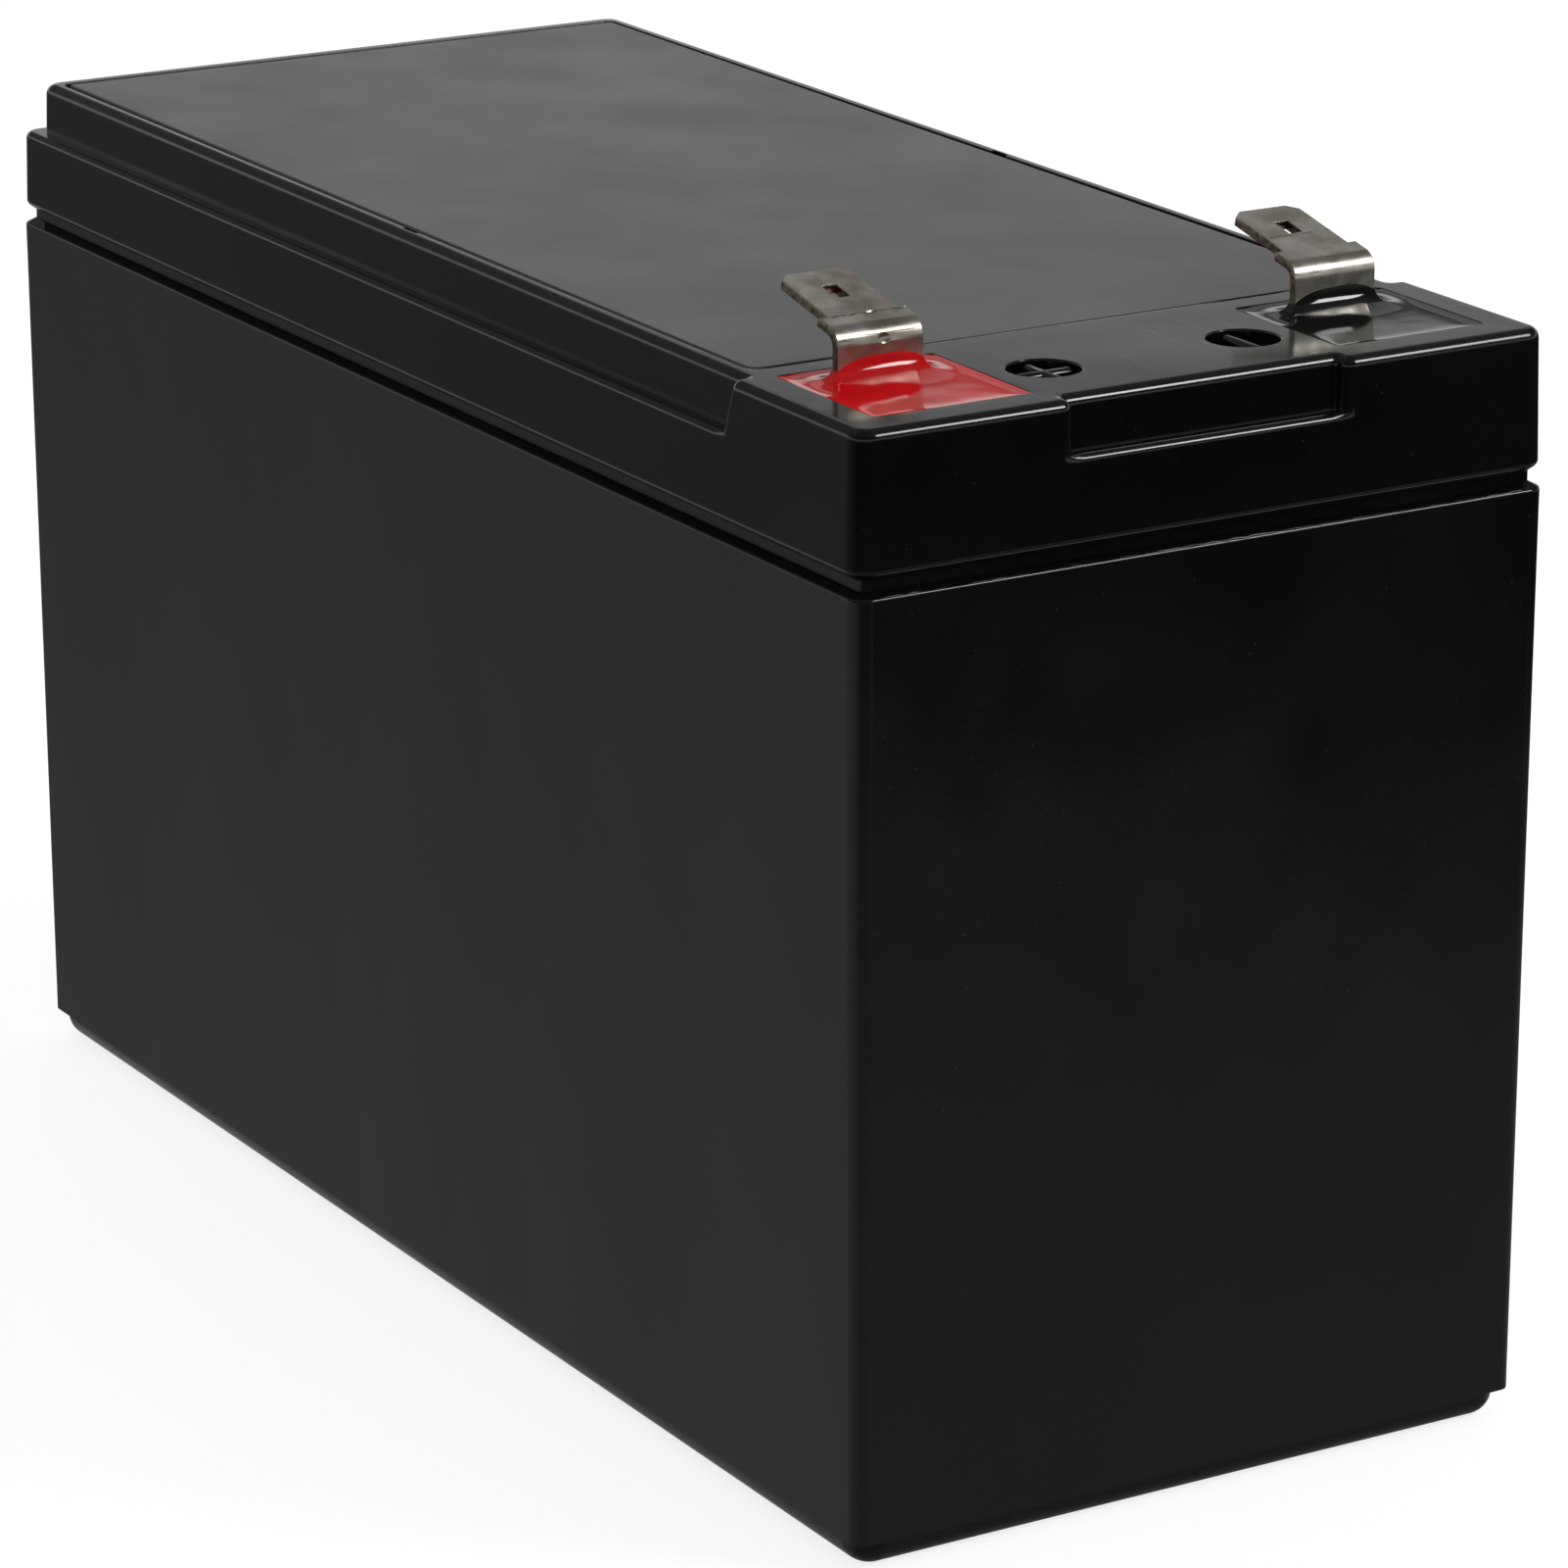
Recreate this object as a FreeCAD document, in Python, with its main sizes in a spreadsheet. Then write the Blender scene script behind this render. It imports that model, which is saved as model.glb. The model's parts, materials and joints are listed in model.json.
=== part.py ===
"""Sealed lead acid battery of twelve volts, in the standard 151 x 65 x 94 mm case.

On the bench it comes apart like this. A moulded container holds six cells in two rows of
three. Each cell has a lead casting of positive plates and one of negative plates, with
folded glass mats between them, and every casting's link passes over a partition to the next
cell. A moulded lid is glued into a groove round the rim. It carries six vent nozzles with
rubber caps under a loose cover, and two wells where a bent tab stands in coloured epoxy.

Frame: origin at the middle of the underside, +X towards the end with the terminals,
+Y towards the negative terminal, +Z up. Lengths are in millimetres, angles in degrees.
"""
import FreeCAD, Part
import math
import os
import re
import Sketcher

# Driving sizes, one row each: a name, its value and what it measures
SIZES = [
    ("case_length", 151.0, "container along X, at the rim"),
    ("case_width", 65.0, "container along Y, at the rim"),
    ("rim_height", 80.75, "lower edge of the groove between container and lid"),
    ("case_draft", 0.22, "lean of the container's sides, inwards at the foot"),
    ("case_corner", 1.5, "radius of the container's upright corners"),
    ("case_wall", 2.2, "container wall, at the rim"),
    ("case_floor", 2.4, "container floor"),
    ("partition_wall", 1.5, "wall between two cells, and the lid's rib above it"),
    ("partition_drop", 1.75, "partition tops below the rim"),
    ("foot_height", 2.6, "stepped foot under the sides"),
    ("foot_inset", 0.5, "foot inside the sides"),
    ("foot_corner", 2.5, "radius of the foot's upright corners"),
    ("foot_round", 2.3, "rounding of the foot's lower edge"),
    ("groove_depth", 1.0, "neck of the groove behind the sides"),
    ("groove_gap", 2.0, "open height of the groove at its mouth"),
    ("shoulder_rise", 0.5, "slope of the container's shoulder, from mouth to neck"),
    ("rim_round", 0.25, "rounding between side and shoulder"),
    ("tongue_height", 2.95, "tongue of the container above its shoulder"),
    ("tongue_clearance", 0.1, "tongue in the lid's channel, on each side"),
    ("glue_depth", 0.8, "glue above the tongue"),
    ("inner_lip", 1.7, "lid's wall inside the channel"),
    ("skirt_drop", 0.7, "slope of the lid's skirt, from mouth to neck"),
    ("lid_height", 11.25, "lid above its lower edge"),
    ("lid_draft", 1.4, "lean of the lid's sides, inwards at the top"),
    ("lid_corner", 2.0, "radius of the lid's upright corners"),
    ("ledge_rise", 6.75, "ledge above the lid's lower edge"),
    ("tier_side_inset", 1.5, "upper tier behind the lid's long sides"),
    ("tier_back_inset", 1.2, "upper tier behind the plain end"),
    ("tier_front_inset", 1.45, "upper tier behind the terminal end, between the ears"),
    ("tier_corner", 1.8, "radius of the upper tier's corners"),
    ("ear_length", 20.0, "full-size corner under a terminal, along X"),
    ("ear_width", 20.1, "the same corner, along Y"),
    ("ear_corner", 1.6, "radius of its other upright corners"),
    ("top_round", 1.2, "rounding of the lid's upper edges"),
    ("ledge_round", 0.6, "rounding of the ledge's outer edge"),
    ("deck_wall", 1.8, "lid's deck over the cells"),
    ("pocket_front_margin", 20.9, "cover's pocket from the terminal end"),
    ("pocket_back_margin", 3.4, "cover's pocket from the plain end"),
    ("pocket_side_margin", 3.15, "cover's pocket from the long sides"),
    ("pocket_front_corner", 1.6, "radius of the pocket's corners beside the terminals"),
    ("pocket_back_corner", 0.8, "radius of the pocket's other corners"),
    ("pocket_ledge", 1.2, "ledge that the vent cover rests on"),
    ("cover_thickness", 1.6, "vent cover"),
    ("cover_gap", 0.4, "open line round the vent cover"),
    ("gas_slot_length", 2.4, "slot in the pocket's long sides, along X"),
    ("gas_slot_depth", 0.35, "the same slot, into the side"),
    ("gas_slot_shift", 2.0, "the same slot's middle behind the lid's middle"),
    ("vent_shift", 4.9, "vents behind the middle of their cells"),
    ("rib_wall", 1.2, "ribs under the vent cover"),
    ("rib_passage", 2.0, "open way for gas past the ends of the cross ribs"),
    ("nozzle_radius", 3.0, "vent nozzle, outside"),
    ("nozzle_wall", 1.5, "vent nozzle's wall"),
    ("valve_wall", 1.4, "skirt of the rubber cap"),
    ("valve_crown", 1.3, "top of the rubber cap"),
    ("valve_lift", 0.4, "cap's skirt above the deck"),
    ("valve_play", 0.3, "cap's top below the vent cover"),
    ("well_length", 14.7, "epoxy well, along X"),
    ("well_width", 14.4, "epoxy well, along Y"),
    ("well_end_margin", 3.8, "well from the terminal end"),
    ("well_side_margin", 3.8, "well from the long side"),
    ("well_corner", 0.6, "radius of the well's corners"),
    ("well_floor", 2.6, "lid under the well"),
    ("epoxy_drop", 0.5, "epoxy's flat surface below the lid's top"),
    ("epoxy_climb", 1.1, "creep of the epoxy up the tab"),
    ("core_wall", 1.7, "walls round the cored space under the polarity marks"),
    ("core_roof", 2.2, "lid above that space"),
    ("mark_end_margin", 9.9, "polarity mark's middle from the terminal end"),
    ("mark_margin", 1.9, "recess of the polarity mark from the well"),
    ("mark_radius", 3.0, "round recess of the polarity mark"),
    ("mark_depth", 1.0, "depth of that recess"),
    ("bar_length", 4.9, "raised bar of the mark, end to end"),
    ("bar_radius", 0.5, "rounding of the raised bar"),
    ("bar_lift", 0.3, "axis of that rounding above the recess's floor"),
    ("tab_thickness", 0.8, "terminal strip"),
    ("neck_width", 7.9, "strip at the leg and the bend"),
    ("neck_length", 1.6, "full-width strip between bend and blade"),
    ("blade_width", 6.35, "push-on blade"),
    ("blade_length", 7.9, "the same, along the strip"),
    ("blade_tilt", 12.0, "rise of the blade towards its tip"),
    ("blade_chamfer", 0.9, "cut corners of the tip"),
    ("bend_radius", 1.6, "outside of the strip's bend"),
    ("leg_rise", 2.6, "lid's top to the start of the bend"),
    ("leg_from_well", 4.0, "well's back wall to the leg's front face"),
    ("latch_length", 2.3, "latch hole, along the blade"),
    ("latch_width", 1.3, "latch hole, across the blade"),
    ("latch_from_tip", 3.9, "latch hole's middle from the tip"),
    ("punch_radius", 0.65, "punch mark on the positive strip"),
    ("punch_depth", 0.15, "depth of the punch mark"),
    ("punch_angle", 12.0, "punch mark above the start of the bend"),
    ("post_radius", 2.75, "lead post under a terminal"),
    ("post_flat", 2.2, "post's axis to the flat that the leg is soldered to"),
    ("post_height", 3.9, "post above the well's floor"),
    ("post_clearance", 0.25, "post in the lid's hole"),
    ("leg_lift", 0.6, "leg's end above the well's floor"),
    ("seal_width", 1.5, "rubber ring round the post, from post to seat"),
    ("seal_height", 1.4, "rubber ring round the post, upwards"),
    ("positive_count", 4, "positive plates in a cell; there is one more negative plate"),
    ("positive_thickness", 2.4, "positive plate"),
    ("negative_thickness", 1.7, "negative plate"),
    ("stack_clearance", 0.5, "outer plates from the cell's walls"),
    ("plate_clearance", 1.4, "plates' upright edges from the cell's walls"),
    ("mat_margin", 0.8, "glass mat beyond a plate's upright edge"),
    ("mat_rise", 2.0, "glass mat above the plates"),
    ("mat_bevel", 0.8, "cut corners of the mat's fold"),
    ("lug_length", 5.0, "plate's lug below the strap"),
    ("lug_width", 8.0, "plate's lug, along X"),
    ("lug_from_wall", 8.9, "lug's middle from the cell's end wall"),
    ("strap_width", 9.0, "cast strap that joins the lugs, along X"),
    ("strap_height", 4.0, "cast strap, upwards"),
    ("link_width", 7.0, "link over a partition"),
    ("link_height", 3.0, "link, upwards, and the notch that it lies in"),
    ("notch_clearance", 0.2, "link in its notch, on each side"),
]

# Sizes and places that follow from the driving ones
DERIVED = [
    ("half_length", "case_length / 2"),
    ("half_width", "case_width / 2"),
    ("draft_shift", "(rim_height - foot_height) * tan(case_draft)"),
    ("side_half_length", "half_length - draft_shift"),
    ("side_half_width", "half_width - draft_shift"),
    ("side_corner", "max(case_corner - draft_shift; 0.1)"),
    ("foot_half_length", "side_half_length - foot_inset"),
    ("foot_half_width", "side_half_width - foot_inset"),
    ("shoulder_lean", "atan(groove_depth / shoulder_rise)"),
    ("shoulder_top", "rim_height + shoulder_rise"),
    ("tongue_top", "shoulder_top + tongue_height"),
    ("tongue_half_length", "half_length - groove_depth"),
    ("tongue_half_width", "half_width - groove_depth"),
    ("tongue_corner", "max(case_corner - groove_depth; 0.1)"),
    ("partition_top", "rim_height - partition_drop"),
    ("cell_length", "(case_length - 2 * case_wall - 2 * partition_wall) / 3"),
    ("cell_width", "(case_width - 2 * case_wall - partition_wall) / 2"),
    ("cell_pitch", "cell_length + partition_wall"),
    ("row_place", "(cell_width + partition_wall) / 2"),
    ("lid_bottom", "rim_height + groove_gap"),
    ("lid_top", "lid_bottom + lid_height"),
    ("ledge_level", "lid_bottom + ledge_rise"),
    ("deck_underside", "tongue_top + glue_depth"),
    ("deck_level", "deck_underside + deck_wall"),
    ("skirt_inset", "groove_depth - tongue_clearance"),
    ("skirt_half_length", "half_length - skirt_inset"),
    ("skirt_half_width", "half_width - skirt_inset"),
    ("skirt_corner", "max(lid_corner - skirt_inset; 0.1)"),
    ("skirt_lean", "atan(skirt_inset / skirt_drop)"),
    ("skirt_level", "lid_bottom - skirt_drop"),
    ("channel_corner", "tongue_corner + tongue_clearance"),
    ("lip_half_length", "half_length - case_wall - tongue_clearance"),
    ("lip_half_width", "half_width - case_wall - tongue_clearance"),
    ("tier_back", "half_length - tier_back_inset"),
    ("tier_front", "half_length - tier_front_inset"),
    ("tier_side", "half_width - tier_side_inset"),
    ("ear_back", "half_length - ear_length"),
    ("ear_inside", "half_width - ear_width"),
    ("cover_level", "lid_top - cover_thickness"),
    ("pocket_front", "half_length - pocket_front_margin"),
    ("pocket_back", "half_length - pocket_back_margin"),
    ("pocket_side", "half_width - pocket_side_margin"),
    ("cover_front", "pocket_front - cover_gap"),
    ("cover_back", "pocket_back - cover_gap"),
    ("cover_side", "pocket_side - cover_gap"),
    ("cover_front_corner", "max(pocket_front_corner - cover_gap; 0.2)"),
    ("cover_back_corner", "max(pocket_back_corner - cover_gap; 0.2)"),
    ("valve_top", "cover_level - valve_play"),
    ("nozzle_top", "valve_top - valve_crown"),
    ("valve_radius", "nozzle_radius + valve_wall"),
    ("valve_bottom", "deck_level + valve_lift"),
    ("well_front", "half_length - well_end_margin"),
    ("well_back", "well_front - well_length"),
    ("well_outside", "half_width - well_side_margin"),
    ("well_inside", "well_outside - well_width"),
    ("well_middle", "(well_outside + well_inside) / 2"),
    ("well_level", "deck_underside + well_floor"),
    ("epoxy_level", "lid_top - epoxy_drop"),
    ("mark_place", "half_length - mark_end_margin"),
    ("mark_offset", "well_inside - mark_margin - mark_radius"),
    ("mark_level", "lid_top - mark_depth"),
    ("leg_face", "well_back + leg_from_well"),
    ("leg_foot", "well_level + leg_lift"),
    ("bend_level", "lid_top + leg_rise"),
    ("bend_run", "bend_radius * tan((90 - blade_tilt) / 2)"),
    ("bend_inside", "max(bend_radius - tab_thickness; 0.1)"),
    ("inside_run", "tab_thickness * tan((90 - blade_tilt) / 2)"),
    ("leg_reach", "bend_level + bend_run - leg_foot"),
    ("neck_reach", "bend_run + neck_length"),
    ("tip_reach", "neck_reach + blade_length"),
    ("latch_reach", "tip_reach - latch_from_tip"),
    ("punch_ball", "(punch_radius ^ 2 + punch_depth ^ 2) / (2 * punch_depth)"),
    ("punch_reach", "bend_radius + punch_ball - punch_depth"),
    ("post_axis", "leg_face + post_flat"),
    ("post_top", "well_level + post_height"),
    ("seal_radius", "post_radius + seal_width"),
    ("seal_level", "well_level - seal_height"),
    ("negative_count", "positive_count + 1"),
    ("stack_metal", "positive_count * positive_thickness + negative_count * negative_thickness"),
    ("mat_thickness", "(cell_width - 2 * stack_clearance - stack_metal) / (2 * positive_count)"),
    ("plate_pitch", "positive_thickness + negative_thickness + 2 * mat_thickness"),
    ("plate_half_length", "cell_length / 2 - plate_clearance"),
    ("mat_inside", "positive_thickness / 2"),
    ("mat_outside", "mat_inside + mat_thickness"),
    ("plate_bottom", "case_floor + mat_thickness"),
    ("strap_top", "partition_top - link_height"),
    ("strap_bottom", "strap_top - strap_height"),
    ("plate_top", "strap_bottom - lug_length"),
    ("mat_top", "plate_top + mat_rise"),
    ("lug_place", "cell_length / 2 - lug_from_wall"),
    ("notch_half_width", "link_width / 2 + notch_clearance"),
]

# How far a cutting block reaches past the face that it opens
PAST = 1.0
# How near an edge lies to the place where it is looked for
NEAR = 1e-4
# Cells in the order of the current: column along X, row across Y
CELLS = [(1, -1), (0, -1), (-1, -1), (-1, 1), (0, 1), (1, 1)]
ALIAS = re.compile(r"[a-z]+(?:_[a-z]+)+")

doc = FreeCAD.newDocument("sealed_battery")
sheet = doc.addObject("Spreadsheet::Sheet", "sizes")
for number, (alias, value, meaning) in enumerate(SIZES, start=1):
    sheet.set(f"A{number}", alias)
    sheet.set(f"B{number}", str(value))
    sheet.set(f"C{number}", meaning)
    sheet.setAlias(f"B{number}", alias)
for number, (alias, rule) in enumerate(DERIVED, start=len(SIZES) + 1):
    sheet.set(f"A{number}", alias)
    sheet.set(f"B{number}", f"={rule}")
    sheet.setAlias(f"B{number}", alias)
doc.recompute()


def bind(thing, place, rule):
    """Ties one property of an object to a rule written with names from the sheet."""
    thing.setExpression(place, ALIAS.sub(r"sizes.\g<0>", rule))


def worth(rule):
    """What a rule comes to now, as a plain number."""
    return float(sheet.evalExpression(ALIAS.sub(r"sizes.\g<0>", rule)))


def put(thing, place):
    """Ties an object's place to three rules."""
    for axis, rule in zip("xyz", place):
        bind(thing, f"Placement.Base.{axis}", rule)
    return thing


def block(name, low, high, body=None):
    """A box between two corners given as rules, by itself or added to a body."""
    if body is None:
        made = doc.addObject("Part::Box", name)
    else:
        made = body.newObject("PartDesign::AdditiveBox", name)
    for side, start, end in zip(("Length", "Width", "Height"), low, high):
        bind(made, side, f"({end}) - ({start})")
    return put(made, low)


def rod(name, radius, foot, height):
    """An upright cylinder on its foot."""
    made = doc.addObject("Part::Cylinder", name)
    bind(made, "Radius", radius)
    bind(made, "Height", height)
    return put(made, foot)


def ball(name, radius, middle):
    """A sphere about its middle."""
    made = doc.addObject("Part::Sphere", name)
    bind(made, "Radius", radius)
    return put(made, middle)


def joined(name, pieces):
    """Several solids as one."""
    made = doc.addObject("Part::MultiFuse", name)
    made.Shapes = pieces
    made.Refine = True
    return made


def less(name, base, tool):
    """One solid with another taken away."""
    made = doc.addObject("Part::Cut", name)
    made.Base = base
    made.Tool = tool
    made.Refine = True
    return made


def tube(name, outside, inside, foot, height):
    """An upright ring between two radii."""
    bore = rod(f"{name}_bore", inside, foot, height)
    return less(name, rod(f"{name}_rod", outside, foot, height), bore)


def origin_feature(body, role):
    """One of a body's own planes or axes."""
    return next(part for part in body.Origin.OriginFeatures if part.Role == role)


def drawing(body, name, role, offset=None):
    """An empty sketch on a body's own plane, moved along its normal by a rule."""
    made = body.newObject("Sketcher::SketchObject", name)
    made.AttachmentSupport = [(origin_feature(body, role), "")]
    made.MapMode = "FlatFace"
    if offset is not None:
        bind(made, "AttachmentOffset.Base.z", offset)
    return made


def ruled(sketch, name, rule, kind, *where):
    """A dimension of a sketch that follows a rule."""
    number = sketch.addConstraint(Sketcher.Constraint(kind, *where, worth(rule)))
    sketch.renameConstraint(number, name)
    bind(sketch, f"Constraints.{name}", rule)


def outline(sketch, name, points):
    """A closed outline of straight lines, through points given as pairs of rules."""
    first = sketch.GeometryCount
    count = len(points)
    places = [FreeCAD.Vector(worth(across), worth(up), 0) for across, up in points]
    for number in range(count):
        sketch.addGeometry(Part.LineSegment(places[number], places[(number + 1) % count]))
    for number, (across, up) in enumerate(points):
        line = first + number
        before = first + (number - 1) % count
        sketch.addConstraint(Sketcher.Constraint("Coincident", before, 2, line, 1))
        ruled(sketch, f"{name}_across{number}", across, "DistanceX", -1, 1, line, 1)
        ruled(sketch, f"{name}_up{number}", up, "DistanceY", -1, 1, line, 1)


def rounded_outline(sketch, sides, corners):
    """A rectangle with round corners.

    Sides are rules for left, right, near and far; corners are rules for the radii at near
    left, near right, far right and far left.
    """
    left, right, near, far = (worth(side) for side in sides)
    radii = [worth(corner) for corner in corners]
    middles = [
        (left + radii[0], near + radii[0]),
        (right - radii[1], near + radii[1]),
        (right - radii[2], far - radii[2]),
        (left + radii[3], far - radii[3]),
    ]
    arcs = []
    for number, (middle, radius) in enumerate(zip(middles, radii)):
        circle = Part.Circle(FreeCAD.Vector(*middle, 0), FreeCAD.Vector(0, 0, 1), radius)
        start = math.radians(180 + 90 * number)
        arcs.append(Part.ArcOfCircle(circle, start, start + math.radians(90)))
    for number, arc in enumerate(arcs):
        sketch.addGeometry(arc)
        sketch.addGeometry(Part.LineSegment(arc.EndPoint, arcs[(number + 1) % 4].StartPoint))
    for number, corner in enumerate(corners):
        arc = 2 * number
        line = arc + 1
        following = (arc + 2) % 8
        level = "Horizontal" if number % 2 == 0 else "Vertical"
        sketch.addConstraint(Sketcher.Constraint("Tangent", arc, 2, line, 1))
        sketch.addConstraint(Sketcher.Constraint("Tangent", line, 2, following, 1))
        sketch.addConstraint(Sketcher.Constraint(level, line))
        ruled(sketch, f"corner{number}", corner, "Radius", arc)
    ruled(sketch, "left", sides[0], "DistanceX", -1, 1, 7, 1)
    ruled(sketch, "right", sides[1], "DistanceX", -1, 1, 3, 1)
    ruled(sketch, "near", sides[2], "DistanceY", -1, 1, 1, 1)
    ruled(sketch, "far", sides[3], "DistanceY", -1, 1, 5, 1)


def both_ways(length, width):
    """Sides of a rectangle about the origin, from its half sizes."""
    return (f"-{length}", length, f"-{width}", width)


def pad(body, name, profile, height, lean=None):
    """A sketch pushed up into a solid, whose sides may lean outwards by an angle."""
    made = body.newObject("PartDesign::Pad", name)
    made.Profile = profile
    bind(made, "Length", height)
    if lean is not None:
        bind(made, "TaperAngle", lean)
    return made


def tier(body, name, sides, corners, level, height, lean=None):
    """One layer of a body: a rectangle with round corners, pushed up from a level."""
    profile = drawing(body, f"{name}_profile", "XY_Plane", level)
    rounded_outline(profile, sides, corners)
    return pad(body, name, profile, height, lean)


def slab(name, sides, corners, level, height):
    """A body of one such layer."""
    body = doc.addObject("PartDesign::Body", name)
    tier(body, f"{name}_layer", sides, corners, level, height)
    return body


def edges_between(feature, low, high):
    """Names of a feature's edges that lie inside a box given by its corners; None is free."""
    doc.recompute()
    names = []
    for number, edge in enumerate(feature.Shape.Edges, start=1):
        box = edge.BoundBox
        reach = ((box.XMin, box.XMax), (box.YMin, box.YMax), (box.ZMin, box.ZMax))
        limits = zip(reach, low, high)
        if all(
            (start is None or least > start - NEAR) and (end is None or most < end + NEAR)
            for (least, most), start, end in limits
        ):
            names.append(f"Edge{number}")
    return names


def soften(body, name, feature, level, radius):
    """Rounds every edge of a body's last feature that lies flat at one level."""
    height = worth(level)
    made = body.newObject("PartDesign::Fillet", name)
    made.Base = (feature, edges_between(feature, (None, None, height), (None, None, height)))
    bind(made, "Radius", radius)
    return made


def cell_middle(cell):
    """Rules for the middle of a cell."""
    column, row = cell
    return (f"{column} * cell_pitch", f"{row} * row_place")


def make_container():
    """The moulded box: stepped foot, leaning sides, sloping shoulder, tongue and six cells."""
    shell = doc.addObject("PartDesign::Body", "container_outside")
    foot = tier(shell, "foot", both_ways("foot_half_length", "foot_half_width"),
                ["foot_corner"] * 4, "0", "foot_height")
    soften(shell, "foot_edge", foot, "0", "min(foot_round; min(foot_corner; foot_height) - 0.1)")
    tier(shell, "sides", both_ways("side_half_length", "side_half_width"),
         ["side_corner"] * 4, "foot_height", "rim_height - foot_height", "case_draft")
    shoulder = tier(shell, "shoulder", both_ways("half_length", "half_width"),
                    ["case_corner"] * 4, "rim_height", "shoulder_rise", "-shoulder_lean")
    soften(shell, "rim_edge", shoulder, "rim_height", "min(rim_round; shoulder_rise / 2)")
    tier(shell, "tongue", both_ways("tongue_half_length", "tongue_half_width"),
         ["tongue_corner"] * 4, "shoulder_top", "tongue_height")

    above = f"partition_top + {PAST}"
    spaces = [
        block("mouth", ("case_wall - half_length", "case_wall - half_width", "partition_top"),
              ("half_length - case_wall", "half_width - case_wall", f"tongue_top + {PAST}")),
        block("crossing_notch",
              ("-cell_pitch - lug_place - notch_half_width", "-partition_wall", "strap_top"),
              ("-cell_pitch - lug_place + notch_half_width", "partition_wall", above)),
    ]
    for cell in CELLS:
        across, along = cell_middle(cell)
        low = (f"{across} - cell_length / 2", f"{along} - cell_width / 2", "case_floor")
        high = (f"{across} + cell_length / 2", f"{along} + cell_width / 2", above)
        spaces.append(block("cell", low, high))
    for row in (-1, 1):
        for side in (-1, 1):
            low = (f"{side} * cell_pitch / 2 - partition_wall",
                   f"{row} * row_place - notch_half_width", "strap_top")
            high = (f"{side} * cell_pitch / 2 + partition_wall",
                    f"{row} * row_place + notch_half_width", above)
            spaces.append(block("notch", low, high))
    return less("container", shell, joined("container_spaces", spaces))


def make_lid():
    """The moulded lid: skirt, two tiers, corner ears, cover pocket, vents, wells and marks."""
    tiers = doc.addObject("PartDesign::Body", "lid_tiers")
    tier(tiers, "skirt", both_ways("skirt_half_length", "skirt_half_width"),
         ["skirt_corner"] * 4, "skirt_level", "skirt_drop", "skirt_lean")
    lower = tier(tiers, "lower_tier", both_ways("half_length", "half_width"),
                 ["lid_corner"] * 4, "lid_bottom", "ledge_rise", "-lid_draft")
    soften(tiers, "ledge_edge", lower, "ledge_level", "ledge_round")
    upper = tier(tiers, "upper_tier", ("-tier_back", "tier_front", "-tier_side", "tier_side"),
                 ["tier_corner"] * 4, "ledge_level", "lid_height - ledge_rise", "-lid_draft")
    soften(tiers, "upper_edge", upper, "lid_top", "top_round")
    outside = [tiers]
    for name, near, far, corners in (
        ("near_ear", "-half_width", "-ear_inside", ["ear_corner", "lid_corner"] + 2 * ["ear_corner"]),
        ("far_ear", "ear_inside", "half_width", 2 * ["ear_corner"] + ["lid_corner", "ear_corner"]),
    ):
        ear = doc.addObject("PartDesign::Body", name)
        layer = tier(ear, f"{name}_layer", ("ear_back", "half_length", near, far), corners,
                     "lid_bottom", "lid_height", "-lid_draft")
        soften(ear, f"{name}_edge", layer, "lid_top", "top_round")
        outside.append(ear)
    spaces = lid_body_spaces() + lid_terminal_spaces()
    shell = less("lid_shell", joined("lid_outside", outside), joined("lid_spaces", spaces))
    whole = joined("lid_whole", [shell] + lid_ribs() + polarity_marks() + vent_walls())
    bores = []
    for cell in CELLS:
        foot = (*vent_axis(cell), f"deck_underside - {PAST}")
        bores.append(rod("nozzle_bore", "nozzle_radius - nozzle_wall", foot,
                         f"nozzle_top - deck_underside + 2 * {PAST}"))
    return less("lid", whole, joined("nozzle_bores", bores))


def lid_body_spaces():
    """Hollows along the whole lid: cover pocket, vent space, gas slots, channel, head space."""
    pocket_corners = ["pocket_back_corner"] + 2 * ["pocket_front_corner"] + ["pocket_back_corner"]
    channel = slab("channel_outside", both_ways("skirt_half_length", "skirt_half_width"),
                   ["channel_corner"] * 4, f"skirt_level - {PAST}",
                   f"deck_underside - skirt_level + {PAST}")
    lip = block("lip_outside", ("-lip_half_length", "-lip_half_width", f"skirt_level - 2 * {PAST}"),
                ("lip_half_length", "lip_half_width", f"deck_underside + {PAST}"))
    return [
        slab("cover_pocket", ("-pocket_back", "pocket_front", "-pocket_side", "pocket_side"),
             pocket_corners, "cover_level", f"cover_thickness + {PAST}"),
        block("vent_space", ("pocket_ledge - pocket_back", "pocket_ledge - pocket_side", "deck_level"),
              ("pocket_front - pocket_ledge", "pocket_side - pocket_ledge", f"cover_level + {PAST}")),
        block("gas_slots",
              ("-gas_slot_shift - gas_slot_length / 2", "-pocket_side - gas_slot_depth", "cover_level"),
              ("gas_slot_length / 2 - gas_slot_shift", "pocket_side + gas_slot_depth",
               f"lid_top + {PAST}")),
        less("glue_channel", channel, lip),
        block("head_space",
              ("inner_lip - lip_half_length", "inner_lip - lip_half_width", f"skirt_level - {PAST}"),
              ("lip_half_length - inner_lip", "lip_half_width - inner_lip", "deck_underside")),
    ]


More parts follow.
